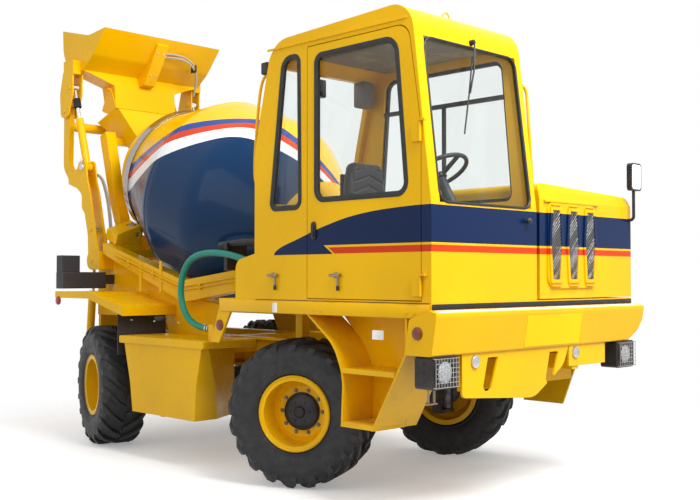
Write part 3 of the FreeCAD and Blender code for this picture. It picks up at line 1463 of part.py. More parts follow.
def rear_lamps():
    """Rear lamp boxes outside the risers."""
    body = new_body("rear_lamps")
    box = pad(body, box_outline(body, "XZ_Plane", "-1930", "-1800", "1410", "1565", "750", "12"), "450")
    bar = pad(body, box_outline(body, "XZ_Plane", "-1850", "-1810", "1450", "1540", "beam_in"), "110")
    cap = pad(body, box_outline(body, "XZ_Plane", "-1925", "-1815", "1560", "1720", "1020", "12"), "180")
    mirror(body, [box, bar, cap])


def suction_hose():
    """Suction hose from the cab's rear wall down to the water tank."""
    body = new_body("suction_hose")
    route = [
        ("hose_start", "hose_start_z"),
        ("480", "1712", "270"),
        ("31", "1710", "265"),
        ("-145", "1534", "265"),
        ("-145", "1286", "265"),
        ("31", "1110", "265"),
        ("hose_end", "hose_end_z"),
    ]
    pipe(body, "XZ_Plane", route, "hose_dia", "hose_side")


def pump_pipe():
    """Steel stub of the suction hose and the black pump pipe with its bracket on the cradle."""
    body = new_body("pump_pipe")
    stub = [
        ("hose_start + 0.3", "hose_start_z - 0.1"),
        ("hose_start + 130", "hose_start_z - 39", "120"),
        ("cab_rear", "hose_start_z - 39"),
    ]
    pipe(body, "XZ_Plane", stub, "hose_dia + 8", "hose_side")
    black = [
        ("cab_rear", "1790"),
        ("500", "1790", "200"),
        ("230", "1770"),
    ]
    pipe(body, "XZ_Plane", black, "64", "930")
    clamp = [
        ("330", "1570"),
        ("370", "1574"),
        ("370", "1790"),
        ("330", "1790"),
    ]
    pad(body, outline(body, "XZ_Plane", clamp, "beam_in + beam_wide"), "200")


# ---------------------------------------------------------------- build and write

chassis_frame()
drum_cradle()
axles()
water_tank()
fuel_tank()
rear_fenders()
mud_flaps()
cab_deck()
front_bumper()
front_steps()
cab_shell()
cab_roof()
cab_glass()
cab_door()
door_glass()
engine_hood()
engine_bulkhead()
engine_block()
mirror_arm()
seat_base()
seat_cushions()
dashboard()
steering_wheel()
for name, (centre, side, steer) in CORNERS.items():
    knuckle(name, centre, side, steer)
    rim(name, centre, side, steer)
    tyre(name, centre, side, steer)
drum()
drum_gearbox()
roller_boxes()
roller("right", -1)
roller("left", 1)
loading_hopper()
discharge_chute()
boom()
bucket()
bucket_gate()
cylinder_pair("lift", ("lift_base_x", "lift_base_z"), ("lift_pin_x", "lift_pin_z"), "lift_bore",
              "lift_length", "plate*2 + 20")
cylinder_pair("tilt", ("tilt_base_x", "tilt_base_z"), ("tilt_pin_x", "tilt_pin_z"), "tilt_bore",
              "tilt_length", "plate*2 + 20")
head_lamps()
rear_lamps()
suction_hose()
pump_pipe()
doc.recompute()

os.makedirs("parts", exist_ok=True)
failed = [item for item in doc.Objects if "Invalid" in item.State or "Error" in item.State]
for item in failed:
    owner = item.getParentGeoFeatureGroup()
    print(f"{item.Name} of {owner.Label if owner else 'the document'} failed: {item.State}")
if failed:
    raise SystemExit(1)
for item in doc.Objects:
    if item.TypeId == "PartDesign::Body":
        if not item.Shape.isValid():
            raise SystemExit(f"{item.Label} has an unsound shape")
        item.Shape.exportStep(f"parts/{item.Label}.step")
        box = item.Shape.BoundBox
        print(f"{item.Label}: {len(item.Shape.Solids)} solids, {box.XMin:.0f} {box.XMax:.0f} {box.YMin:.0f}"
              f" {box.YMax:.0f} {box.ZMin:.0f} {box.ZMax:.0f}")
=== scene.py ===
"""Looks of a self-loading concrete mixer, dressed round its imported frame, in metres."""

import json
import logging
import math
from dataclasses import dataclass
from enum import Enum
from typing import Any, Callable, Iterable, Sequence

import bmesh
import bpy
from mathutils import Matrix, Vector
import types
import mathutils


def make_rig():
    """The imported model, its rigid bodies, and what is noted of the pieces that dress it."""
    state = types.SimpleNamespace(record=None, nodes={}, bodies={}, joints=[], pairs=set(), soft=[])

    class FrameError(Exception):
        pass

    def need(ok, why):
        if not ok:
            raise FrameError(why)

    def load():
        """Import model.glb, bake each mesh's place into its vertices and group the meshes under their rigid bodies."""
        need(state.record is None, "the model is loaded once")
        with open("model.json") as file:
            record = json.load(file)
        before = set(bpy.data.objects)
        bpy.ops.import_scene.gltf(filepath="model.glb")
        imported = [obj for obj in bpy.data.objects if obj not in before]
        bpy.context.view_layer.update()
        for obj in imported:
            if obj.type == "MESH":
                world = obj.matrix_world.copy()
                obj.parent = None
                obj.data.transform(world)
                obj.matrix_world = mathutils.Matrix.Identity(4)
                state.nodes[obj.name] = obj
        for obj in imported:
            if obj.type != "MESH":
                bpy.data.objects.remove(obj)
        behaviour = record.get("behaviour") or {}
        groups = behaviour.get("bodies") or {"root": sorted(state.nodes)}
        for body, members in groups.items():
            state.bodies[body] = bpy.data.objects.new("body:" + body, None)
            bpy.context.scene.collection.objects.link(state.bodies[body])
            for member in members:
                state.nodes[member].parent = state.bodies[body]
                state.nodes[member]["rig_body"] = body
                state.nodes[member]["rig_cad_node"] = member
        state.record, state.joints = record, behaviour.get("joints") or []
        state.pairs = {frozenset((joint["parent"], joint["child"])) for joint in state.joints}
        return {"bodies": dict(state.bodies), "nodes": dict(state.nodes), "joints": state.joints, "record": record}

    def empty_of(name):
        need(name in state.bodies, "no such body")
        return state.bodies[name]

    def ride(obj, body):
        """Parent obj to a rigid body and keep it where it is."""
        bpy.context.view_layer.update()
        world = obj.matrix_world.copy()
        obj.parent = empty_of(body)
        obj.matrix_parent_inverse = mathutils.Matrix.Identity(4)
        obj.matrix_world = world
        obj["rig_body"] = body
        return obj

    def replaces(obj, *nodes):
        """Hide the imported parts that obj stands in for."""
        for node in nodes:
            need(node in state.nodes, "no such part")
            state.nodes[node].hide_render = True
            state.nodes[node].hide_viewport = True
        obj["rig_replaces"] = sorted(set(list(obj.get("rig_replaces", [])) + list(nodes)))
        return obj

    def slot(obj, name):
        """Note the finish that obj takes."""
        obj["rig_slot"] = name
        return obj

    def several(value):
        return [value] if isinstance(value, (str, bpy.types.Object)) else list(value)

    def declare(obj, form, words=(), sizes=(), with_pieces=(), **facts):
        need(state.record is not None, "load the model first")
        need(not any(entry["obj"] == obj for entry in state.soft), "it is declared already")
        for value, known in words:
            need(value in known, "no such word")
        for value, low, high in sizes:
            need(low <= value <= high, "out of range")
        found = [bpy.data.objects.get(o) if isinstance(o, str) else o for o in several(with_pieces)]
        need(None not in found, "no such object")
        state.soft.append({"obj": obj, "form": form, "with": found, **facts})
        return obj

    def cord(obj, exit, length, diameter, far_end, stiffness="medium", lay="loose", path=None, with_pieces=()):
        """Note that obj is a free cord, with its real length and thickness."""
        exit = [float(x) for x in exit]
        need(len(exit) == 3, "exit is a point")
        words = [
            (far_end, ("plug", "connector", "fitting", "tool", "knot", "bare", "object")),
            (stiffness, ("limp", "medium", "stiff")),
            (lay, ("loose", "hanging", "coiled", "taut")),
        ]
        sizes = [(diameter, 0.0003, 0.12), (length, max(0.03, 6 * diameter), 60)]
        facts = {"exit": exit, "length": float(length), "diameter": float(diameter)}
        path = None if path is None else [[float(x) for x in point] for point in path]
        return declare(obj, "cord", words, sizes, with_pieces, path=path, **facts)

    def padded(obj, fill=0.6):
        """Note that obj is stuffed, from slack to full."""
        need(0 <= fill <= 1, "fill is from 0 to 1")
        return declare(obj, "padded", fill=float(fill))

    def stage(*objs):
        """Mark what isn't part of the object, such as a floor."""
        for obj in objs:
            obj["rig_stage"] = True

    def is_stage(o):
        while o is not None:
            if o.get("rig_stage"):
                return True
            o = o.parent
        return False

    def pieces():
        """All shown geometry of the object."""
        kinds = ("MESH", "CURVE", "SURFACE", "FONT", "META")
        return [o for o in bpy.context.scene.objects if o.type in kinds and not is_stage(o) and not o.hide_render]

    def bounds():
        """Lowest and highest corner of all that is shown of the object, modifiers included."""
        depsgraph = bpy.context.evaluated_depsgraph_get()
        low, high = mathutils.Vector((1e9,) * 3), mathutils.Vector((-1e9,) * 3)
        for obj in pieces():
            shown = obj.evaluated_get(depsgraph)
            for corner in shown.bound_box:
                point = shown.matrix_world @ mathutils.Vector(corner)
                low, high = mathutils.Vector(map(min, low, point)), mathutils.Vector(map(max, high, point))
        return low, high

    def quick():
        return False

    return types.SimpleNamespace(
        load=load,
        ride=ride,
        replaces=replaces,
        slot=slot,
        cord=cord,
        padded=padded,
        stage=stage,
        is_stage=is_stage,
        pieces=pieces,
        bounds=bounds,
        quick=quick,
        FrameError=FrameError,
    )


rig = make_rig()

log = logging.getLogger("mixer")
Point = tuple[float, float, float]
Flat = tuple[float, float]
Colour = tuple[float, float, float]

TILT = math.radians(18.8)
DRUM_CENTRE = Vector((-0.270, 0.0, 2.070))
DRUM_FRAME = Matrix.Translation(DRUM_CENTRE) @ Matrix.Rotation(TILT, 4, "Y")
SIDE_WALL = 1.190
FRONT_WALL = 2.670
AHEAD, BACK, UP = (1, 0, 0), (-1, 0, 0), (0, 0, 1)
BEVEL_SAMPLES = 4


class Side(Enum):
    """The two sides of the machine, by the sign of their Y."""

    RIGHT = -1
    LEFT = 1


class Lens(Enum):
    """Colours of the small lamps and markers."""

    CLEAR = (0.85, 0.87, 0.88)
    AMBER = (0.30, 0.055, 0.010)
    # Near-white blue for the headlamp lenses: a painted highlight that stands in for the shine of their glass and
    # reflector.
    BRIGHT = (0.90, 0.94, 0.98)
    RED = (0.62, 0.02, 0.015)


# ---------------------------------------------------------------- shader graph


class Tree:
    """A node tree, with short calls for adding and linking nodes."""

    def __init__(self, tree: bpy.types.NodeTree) -> None:
        """Keep the tree.

        Args:
            tree: The tree to add nodes to.
        """
        self.tree = tree

    def node(self, kind: str) -> Any:
        """Add a node of a kind, which is named without Blender's prefix."""
        return self.tree.nodes.new("ShaderNode" + kind)

    def put(self, socket: Any, value: Any) -> None:
        """Link a socket or set its value.

        Args:
            socket: The input socket.
            value: An output socket, a number, or a colour or vector.
        """
        if isinstance(value, bpy.types.NodeSocket):
            self.tree.links.new(value, socket)
        elif isinstance(value, (int, float)):
            socket.default_value = value
        else:
            wanted = len(socket.default_value)
            value = tuple(value)
            socket.default_value = value + (1.0,) * (wanted - len(value))

    def math(self, op: str, a: Any, b: Any = 0.0, clamp: bool = False) -> Any:
        """Add one arithmetic node.

        Args:
            op: Blender's name of the operation.
            a: First value or socket.
            b: Second value or socket.
            clamp: Keep the result between 0 and 1.

        Returns:
            The result's socket.
        """
        node = self.node("Math")
        node.operation, node.use_clamp = op, clamp
        self.put(node.inputs[0], a)
        self.put(node.inputs[1], b)
        return node.outputs[0]

    def seen(self) -> Any:
        """Give 1 for rays from the camera and for what they meet by mirror or through glass, or else 0."""
        path = self.node("LightPath")
        seen = path.outputs["Is Camera Ray"]
        for ray in ("Is Glossy Ray", "Is Transmission Ray"):
            seen = self.math("MAXIMUM", seen, path.outputs[ray])
        return seen


class Graph(Tree):
    """A material's node tree, with short calls for the nodes that the finishes use."""

    def __init__(self, name: str) -> None:
        """Start an empty material with one Principled shader.

        Args:
            name: The material's name.
        """
        self.material = bpy.data.materials.new(name)
        self.material.use_nodes = True
        super().__init__(self.material.node_tree)
        self.tree.nodes.clear()
        self.out, self.shader = self.node("OutputMaterial"), self.node("BsdfPrincipled")
        self.tree.links.new(self.shader.outputs[0], self.out.inputs["Surface"])
        self.place = self.node("TexCoord").outputs["Object"]

    def set(self, **values: Any) -> None:
        """Set the shader's own sockets by name, with underscores for spaces.

        Args:
            **values: Value or output socket of each named input.
        """
        for name, value in values.items():
            self.put(self.shader.inputs[name.replace("_", " ")], value)

    def times(self, a: Any, b: Any) -> Any:
        """Multiply two values."""
        return self.math("MULTIPLY", a, b)

    def plus(self, a: Any, b: Any) -> Any:
        """Add two values."""
        return self.math("ADD", a, b)

    def minus(self, a: Any, b: Any) -> Any:
        """Take the second value from the first."""
        return self.math("SUBTRACT", a, b)

    def above(self, a: Any, b: Any) -> Any:
        """Give 1 where the first value is the greater one, or else 0."""
        return self.math("GREATER_THAN", a, b)

    def below(self, a: Any, b: Any) -> Any:
        """Give 1 where the first value is the smaller one, or else 0."""
        return self.math("LESS_THAN", a, b)

    def within(self, value: Any, low: float, high: float) -> Any:
        """Give 1 where a value lies between two others, or else 0."""
        return self.times(self.above(value, low), self.below(value, high))

    def length(self, a: Any, b: Any) -> Any:
        """Give the length of a flat vector."""
        return self.math("SQRT", self.plus(self.times(a, a), self.times(b, b)))

    def split(self, vector: Any) -> tuple[Any, Any, Any]:
        """Give the three parts of a vector socket."""
        node = self.node("SeparateXYZ")
        self.put(node.inputs[0], vector)
        return node.outputs[0], node.outputs[1], node.outputs[2]

    def noise(self, scale: float, detail: float, rough: float = 0.5) -> Any:
        """Add a noise texture.

        Args:
            scale: Size of the pattern, in repeats a metre.
            detail: Octaves.
            rough: How strong the finer octaves are.

        Returns:
            The socket of its grey value.
        """
        node = self.node("TexNoise")
        self.put(node.inputs["Vector"], self.place)
        self.put(node.inputs["Scale"], scale)
        self.put(node.inputs["Detail"], detail)
        self.put(node.inputs["Roughness"], rough)
        return node.outputs["Fac"]

    def cells(self, scale: float) -> Any:
        """Add a cell texture and give the distance to the nearest cell's centre."""
        node = self.node("TexVoronoi")
        self.put(node.inputs["Vector"], self.place)
        self.put(node.inputs["Scale"], scale)
        return node.outputs["Distance"]

    def ramp(self, value: Any, low: float, high: float, start: float = 0.0, end: float = 1.0) -> Any:
        """Map a span of values onto another, smoothly and clamped.

        Args:
            value: Socket to map.
            low: Value that gives start.
            high: Value that gives end.
            start: Result at low.
            end: Result at high.

        Returns:
            The result's socket.
        """
        node = self.node("MapRange")
        node.interpolation_type = "SMOOTHSTEP"
        for socket, item in zip(node.inputs, (value, low, high, start, end)):
            self.put(socket, item)
        return node.outputs[0]

    def uneven(self, scale: float, detail: float, low: float, high: float) -> Any:
        """Give a value that wanders between two others over the surface.

        Args:
            scale: Size of the pattern, in repeats a metre.
            detail: Octaves.
            low: One end.
            high: The other end.

        Returns:
            The value's socket.
        """
        return self.ramp(self.noise(scale, detail), 0.3, 0.7, low, high)

    def mix(self, share: Any, first: Any, second: Any) -> Any:
        """Blend two colours by a share and give the socket."""
        node = self.node("Mix")
        node.data_type = "RGBA"
        self.put(node.inputs[0], share)
        self.put(node.inputs[6], first)
        self.put(node.inputs[7], second)
        return node.outputs[2]

    def bump(self, height: Any, depth: float, strength: float = 1.0, under: Any = None) -> Any:
        """Add a bump and link it to the shader's normal.

        Args:
            height: Height field from 0 to 1.
            depth: Depth in metres.
            strength: Share of the effect.
            under: Another bump's socket below this one.

        Returns:
            The normal's socket.
        """
        node = self.node("Bump")
        self.put(node.inputs["Height"], height)
        self.put(node.inputs["Distance"], depth)
        self.put(node.inputs["Strength"], strength)
        if under is not None:
            self.put(node.inputs["Normal"], under)
        self.put(self.shader.inputs["Normal"], node.outputs[0])
        return node.outputs[0]

    def upward(self) -> Any:
        """Give how much the surface faces up, from 0 to 1."""
        geometry = self.node("NewGeometry")
        return self.math("MAXIMUM", self.split(geometry.outputs["Normal"])[2], 0.0)

    def edges(self, reach: float) -> Any:
        """Give a mask that is 1 on edges and corners.

        Args:
            reach: Width of the worn edge in metres.

        Returns:
            The mask's socket.
        """
        bevel = self.node("Bevel")
        bevel.samples = BEVEL_SAMPLES
        self.put(bevel.inputs["Radius"], reach)
        geometry = self.node("NewGeometry")
        dot = self.node("VectorMath")
        dot.operation = "DOT_PRODUCT"
        self.put(dot.inputs[0], bevel.outputs[0])
        self.put(dot.inputs[1], geometry.outputs["Normal"])
        return self.ramp(dot.outputs["Value"], 0.995, 0.90)


# ---------------------------------------------------------------- finishes

YELLOW: Colour = (0.930, 0.520, 0.001)
NAVY: Colour = (0.003, 0.016, 0.068)
DRUM_NAVY: Colour = (0.002, 0.030, 0.096)
RED: Colour = (0.62, 0.046, 0.006)
WHITE: Colour = (0.80, 0.80, 0.80)
BLUE: Colour = (0.016, 0.060, 0.270)
DUST: Colour = (0.40, 0.25, 0.09)
BARE: Colour = (0.20, 0.17, 0.15)
CLEAN_ABOVE, DUSTY_BELOW = 1.7, 0.3
WORN_EDGE, SOFT_EDGE = 0.004, 0.005


def shade(colour: Colour, gain: float, lift: float = 0.0) -> Colour:
    """Scale a colour and lift it towards grey."""
    return tuple(part * gain + lift for part in colour)


@dataclass(frozen=True)
class Enamel:
    """Glossy machine enamel, with a light orange peel, thin dust and a few rubbed edges."""

    name: str
    colour: Colour = YELLOW
    rough: float = 0.24
    coat: float = 0.08
    dust: float = 0.10
    worn: bool = False

    def colours(self, graph: Graph) -> Any:
        """Give the paint's colour, slightly uneven from panel to panel."""
        broad = graph.noise(0.9, 3.0)
        return graph.mix(graph.ramp(broad, 0.35, 0.65), shade(self.colour, 0.90), self.colour)

    def make(self) -> bpy.types.Material:
        """Build the material."""
        graph = Graph(self.name)
        paint = self.colours(graph)
        low = graph.ramp(graph.split(graph.place)[2], CLEAN_ABOVE, DUSTY_BELOW)
        where = graph.plus(graph.times(low, 0.6), graph.times(graph.upward(), 0.35))
        patches = graph.ramp(graph.noise(3.2, 7.0, rough=0.62), 0.42, 0.74)
        share = graph.math("MULTIPLY", graph.times(where, patches), self.dust * 3.0, clamp=True)
        colour = graph.mix(share, paint, DUST)
        rough = graph.uneven(14.0, 5.0, self.rough * 0.85, self.rough * 1.25)
        if self.worn:
            chips = graph.ramp(graph.noise(70.0, 4.0), 0.50, 0.60)
            colour = graph.mix(graph.times(graph.edges(WORN_EDGE), chips), colour, BARE)
        graph.set(Base_Color=colour, Coat_Weight=self.coat, Coat_Roughness=0.06, Specular_IOR_Level=0.12,
                  Roughness=graph.plus(rough, graph.times(share, 0.5)))
        soft = graph.node("Bevel")
        soft.samples = BEVEL_SAMPLES
        graph.put(soft.inputs["Radius"], SOFT_EDGE)
        peel = graph.bump(graph.noise(240.0, 1.0), 0.00035, 0.25, under=soft.outputs[0])
        graph.bump(graph.noise(1.7, 2.0), 0.006, 0.12, under=peel)
        return graph.material


@dataclass(frozen=True)
class CabEnamel(Enamel):
    """Body enamel with the navy wedge and the red line that run round cab and hood."""

    wedge_start: float = 1.19
    wedge_long: float = 1.51
    wedge_foot: float = 1.674
    wedge_rise: float = 0.295
    curve: tuple[Flat, ...] = ((0.025, 0.13), (0.185, 0.40), (0.353, 0.655), (0.574, 0.883), (0.81, 0.98))
    tail_top: float = 1.735
    tail_foot: float = 1.675
    tail_end: float = 1.71
    tail_slope: float = 1.5
    line: Flat = (1.677, 1.720)
    line_gap: float = 0.02

    def wedge_top(self, graph: Graph, x: Any) -> Any:
        """Give the height of the wedge's upper edge, which rises along a curve."""
        curve = graph.node("FloatCurve")
        share = graph.math("DIVIDE", graph.minus(x, self.wedge_start), self.wedge_long, clamp=True)
        graph.put(curve.inputs["Value"], share)
        line = curve.mapping.curves[0]
        line.points[0].location = (0.0, 0.0)
        line.points[1].location = (1.0, 1.0)
        for place in self.curve:
            line.points.new(*place)
        curve.mapping.update()
        return graph.plus(graph.times(curve.outputs[0], self.wedge_rise), self.wedge_foot)

    def colours(self, graph: Graph) -> Any:
        """Give the paint's colour with the two bands laid over it."""
        base = Enamel.colours(self, graph)
        x, _, z = graph.split(graph.place)
        slant = graph.plus(graph.times(graph.minus(self.tail_top, z), self.tail_slope), self.tail_end)
        tail = graph.times(graph.above(z, self.tail_foot), graph.below(x, slant))
        either = graph.math("MAXIMUM", graph.above(z, self.tail_top), tail)
        inside = graph.times(either, graph.below(z, self.wedge_top(graph, x)))
        wedge = graph.times(inside, graph.above(x, self.wedge_start))
        past = graph.above(x, graph.plus(slant, self.line_gap))
        red = graph.times(graph.within(z, *self.line), past)
        return graph.mix(red, graph.mix(wedge, base, NAVY), RED)


@dataclass(frozen=True)
class DrumEnamel(Enamel):
    """Drum enamel: bands that wind along the cone, yellow head and mouth, and a bare track ring."""

    bands: tuple[tuple[float, Colour], ...] = ((69.5, BLUE), (76.5, RED), (83.0, WHITE), (93.6, DRUM_NAVY))
    twist: float = 50.0
    start: float = 235.0
    head: float = 0.655
    mouth: float = -1.428
    ring: Flat = (-1.4305, -1.3495)
    ring_inside: float = 0.650

    def drum_place(self, graph: Graph) -> tuple[Any, Any, Any]:
        """Give the place along the drum's axis, the angle about it in degrees and the radius."""
        x, y, z = graph.split(graph.place)
        dx, dz = graph.minus(x, DRUM_CENTRE.x), graph.minus(z, DRUM_CENTRE.z)
        along = graph.minus(graph.times(dx, math.cos(TILT)), graph.times(dz, math.sin(TILT)))
        up = graph.plus(graph.times(dx, math.sin(TILT)), graph.times(dz, math.cos(TILT)))
        turn = graph.times(graph.math("ARCTAN2", graph.times(y, -1.0), up), math.degrees(1.0))
        return along, turn, graph.length(y, up)

    def colours(self, graph: Graph) -> Any:
        """Give the colour of each band."""
        base = Enamel.colours(self, graph)
        along, turn, radius = self.drum_place(graph)
        wound = graph.plus(graph.plus(turn, graph.times(along, self.twist)), self.start)
        away = graph.math("ABSOLUTE", graph.minus(graph.math("FLOORED_MODULO", wound, 360.0), 180.0))
        colour = base
        for edge, tone in self.bands:
            colour = graph.mix(graph.above(away, edge), colour, tone)
        colour = graph.mix(graph.above(along, self.head), colour, base)
        colour = graph.mix(graph.below(along, self.mouth), colour, base)
        ring = graph.times(graph.within(along, *self.ring), graph.above(radius, self.ring_inside))
        graph.set(Metallic=ring)
        steel = graph.mix(graph.noise(30.0, 5.0), (0.30, 0.27, 0.24), (0.46, 0.44, 0.42))
        return graph.mix(ring, colour, steel)


@dataclass(frozen=True)
class Steel:
    """Metal: drawn, plated or cast, by its roughness and grain."""

    name: str
    colour: Colour = (0.56, 0.56, 0.57)
    rough: float = 0.28
    grain: float = 60.0
    stain: float = 0.25

    def make(self) -> bpy.types.Material:
        """Build the material."""
        graph = Graph(self.name)
        marks = graph.ramp(graph.noise(self.grain, 6.0), 0.45, 0.75, 0.0, self.stain * 2.0)
        colour = graph.mix(marks, self.colour, shade(self.colour, 0.55))
        graph.set(Base_Color=colour, Metallic=1.0,
                  Roughness=graph.uneven(self.grain * 0.4, 4.0, self.rough * 0.8, self.rough * 1.5))
        graph.bump(graph.noise(self.grain * 9.0, 2.0), 0.0002, 0.4)
        return graph.material


@dataclass(frozen=True)
class Rubber:
    """Black or coloured rubber with fine grain and a dusty bloom."""

    name: str
    colour: Colour = (0.018, 0.018, 0.019)
    rough: float = 0.62
    dusty: float = 0.20

    def make(self) -> bpy.types.Material:
        """Build the material."""
        graph = Graph(self.name)
        bloom = graph.ramp(graph.noise(9.0, 7.0, rough=0.65), 0.40, 0.78, 0.0, self.dusty)
        colour = graph.mix(bloom, self.colour, shade(self.colour, 0.6, 0.045))
        graph.set(Base_Color=colour, Specular_IOR_Level=0.4,
                  Roughness=graph.uneven(22.0, 4.0, self.rough * 0.85, self.rough * 1.2))
        fine = graph.bump(graph.noise(420.0, 3.0), 0.0004, 0.35)
        graph.bump(graph.noise(38.0, 5.0), 0.0012, 0.25, under=fine)
        return graph.material


@dataclass(frozen=True)
class Moulding:
    """Moulded plastic or satin black paint with a pebbled grain."""

    name: str
    colour: Colour = (0.022, 0.022, 0.024)
    rough: float = 0.45
    pebble: float = 700.0

    def make(self) -> bpy.types.Material:
        """Build the material."""
        graph = Graph(self.name)
        rub = graph.ramp(graph.noise(6.0, 6.0), 0.42, 0.72)
        colour = graph.mix(rub, self.colour, shade(self.colour, 1.5, 0.010))
        graph.set(Base_Color=colour, Specular_IOR_Level=0.28,
                  Roughness=graph.uneven(25.0, 4.0, self.rough * 0.85, self.rough * 1.2))
        graph.bump(graph.cells(self.pebble), 0.0003, 0.5)
        return graph.material


@dataclass(frozen=True)
class Vinyl:
    """Coated seat cover with a leather-like grain and a soft sheen."""

    name: str
    colour: Colour = (0.030, 0.031, 0.035)

    def make(self) -> bpy.types.Material:
        """Build the material."""
        graph = Graph(self.name)
        graph.set(Sheen_Weight=0.25, Sheen_Roughness=0.4)
        rub = graph.ramp(graph.noise(7.0, 5.0), 0.40, 0.70)
        graph.set(Base_Color=graph.mix(rub, self.colour, shade(self.colour, 1.5, 0.008)),
                  Roughness=graph.uneven(40.0, 4.0, 0.42, 0.58))
        folds = graph.bump(graph.noise(18.0, 4.0), 0.0020, 0.35)
        graph.bump(graph.cells(520.0), 0.0005, 0.6, under=folds)
        return graph.material


@dataclass(frozen=True)
class Glass:
    """Clear pane with a faint tint, faint smears and a thin reflection."""

    name: str
    tint: Colour = (0.965, 0.98, 0.975)

    def make(self) -> bpy.types.Material:
        """Build the material."""
        graph = Graph(self.name)
        graph.tree.nodes.remove(graph.shader)
        clear = graph.node("BsdfTransparent")
        smear = graph.ramp(graph.noise(5.0, 6.0), 0.45, 0.8, 0.0, 0.07)
        graph.put(clear.inputs["Color"], graph.mix(smear, self.tint, (0.80, 0.82, 0.80)))
        gloss = graph.node("BsdfGlossy")
        graph.put(gloss.inputs["Roughness"], graph.uneven(9.0, 3.0, 0.02, 0.06))
        glance = graph.node("LayerWeight")
        graph.put(glance.inputs["Blend"], 0.5)
        steep = graph.math("POWER", glance.outputs["Facing"], 5.0)
        blend = graph.node("MixShader")
        graph.put(blend.inputs[0], graph.plus(graph.times(steep, 0.45), 0.025))
        graph.tree.links.new(clear.outputs[0], blend.inputs[1])
        graph.tree.links.new(gloss.outputs[0], blend.inputs[2])
        graph.tree.links.new(blend.outputs[0], graph.out.inputs["Surface"])
        return graph.material


@dataclass(frozen=True)
class Prism:
    """Lamp lens or reflector with moulded prisms behind a clear face."""

    name: str
    tone: Lens = Lens.CLEAR
    pitch: float = 160.0
    metal: float = 0.0

    def make(self) -> bpy.types.Material:
        """Build the material."""
        graph = Graph(self.name)
        facets = graph.cells(self.pitch)
        colour = graph.mix(graph.ramp(facets, 0.0, 0.6), self.tone.value, shade(self.tone.value, 0.55))
        graph.set(Base_Color=colour, Metallic=self.metal, Coat_Weight=0.35, Coat_Roughness=0.05,
                  Specular_IOR_Level=0.30, Roughness=graph.uneven(50.0, 2.0, 0.14, 0.28))
        graph.bump(facets, 0.0012, 0.7)
        return graph.material


class Shop:
    """All finishes of the machine, built once."""

    def __init__(self) -> None:
        """Build each material."""
        self.yellow = Enamel("yellow_enamel").make()
        self.worn_yellow = Enamel("worn_yellow_enamel", worn=True, dust=0.22).make()
        self.cab = CabEnamel("banded_enamel").make()
        self.drum = DrumEnamel("drum_enamel", rough=0.20, coat=0.16, dust=0.03).make()
        self.plate = Enamel("plate_yellow", colour=(0.93, 0.66, 0.0), rough=0.45, coat=0.05).make()
        self.liner = Moulding("headliner_grey", (0.20, 0.20, 0.205), 0.75, 420.0).make()
        self.satin_black = Moulding("satin_black", (0.016, 0.016, 0.018), 0.34).make()
        self.moulding = Moulding("black_moulding").make()
        self.lamp_black = Moulding("lamp_black", (0.020, 0.018, 0.017), 0.42, 900.0).make()
        self.dark_paint = Enamel("dark_grey_paint", colour=(0.045, 0.045, 0.050), rough=0.40, coat=0.1,
                                 dust=0.3).make()
        self.tyre = Rubber("tyre_rubber", (0.014, 0.0145, 0.016), 0.58, 0.30).make()
        self.rubber = Rubber("seal_rubber", (0.013, 0.013, 0.014), 0.50, 0.10).make()
        self.flap = Rubber("flap_rubber", (0.028, 0.026, 0.025), 0.66, 0.25).make()
        self.hose = Rubber("green_hose", (0.0, 0.235, 0.165), 0.34, 0.05).make()
        self.pale_hose = Rubber("braided_hose", (0.42, 0.40, 0.34), 0.42, 0.10).make()
        self.chrome = Steel("chrome", (0.86, 0.86, 0.86), 0.07, 80.0, 0.05).make()
        self.zinc = Steel("zinc", (0.62, 0.61, 0.57), 0.30, 120.0, 0.25).make()
        self.cast = Steel("cast_iron", (0.13, 0.13, 0.135), 0.55, 40.0, 0.35).make()
        self.wire = Steel("guard_wire", (0.50, 0.49, 0.47), 0.32, 150.0, 0.30).make()
        self.vent = Steel("vent_wire", (0.24, 0.24, 0.23), 0.50, 150.0, 0.30).make()
        self.dull = Steel("dull_plating", (0.29, 0.25, 0.17), 0.42, 90.0, 0.35).make()
        self.nut = Steel("nut_steel", (0.20, 0.165, 0.11), 0.50, 90.0, 0.35).make()
        self.ground = Steel("ground_steel", (0.42, 0.41, 0.40), 0.30, 50.0, 0.35).make()
        self.vinyl = Vinyl("seat_vinyl").make()
        self.glass = Glass("window_glass").make()
        # The mirror's panes are a pale, matt grey plastic: a painted reflection of the white surroundings, not a
        # reflective finish.
        self.mirror = Moulding("mirror_face", (0.86, 0.87, 0.88), 0.16, 300.0).make()
        self.clear = Prism("clear_lens").make()
        self.silver = Prism("grey_reflector", Lens.CLEAR, 220.0, 0.9).make()
        # Headlamp lens finish: a painted highlight in near-white blue, not a clear lens over a metal reflector.
        self.bowl = Prism("lamp_bowl", Lens.BRIGHT, 60.0, 0.0).make()
        self.amber = Prism("amber_lens", Lens.AMBER).make()
        self.red = Prism("red_lens", Lens.RED).make()
        self.tape = Moulding("pale_tape", (0.78, 0.78, 0.76), 0.40, 500.0).make()


# ---------------------------------------------------------------- mesh forms

CORNER_STEPS = 6


def frame_on(centre: Sequence[float], normal: Sequence[float], turn: float = 0.0) -> Matrix:
    """Give a frame whose Z follows a normal, at a centre.

    Args:
        centre: The frame's origin.
        normal: Direction of its Z.
        turn: Angle about that direction, in radians.

    Returns:
        The frame as a 4x4 matrix.
    """
    facing = Vector(normal).to_track_quat("Z", "Y").to_matrix().to_4x4()
    return Matrix.Translation(Vector(centre)) @ facing @ Matrix.Rotation(turn, 4, "Z")


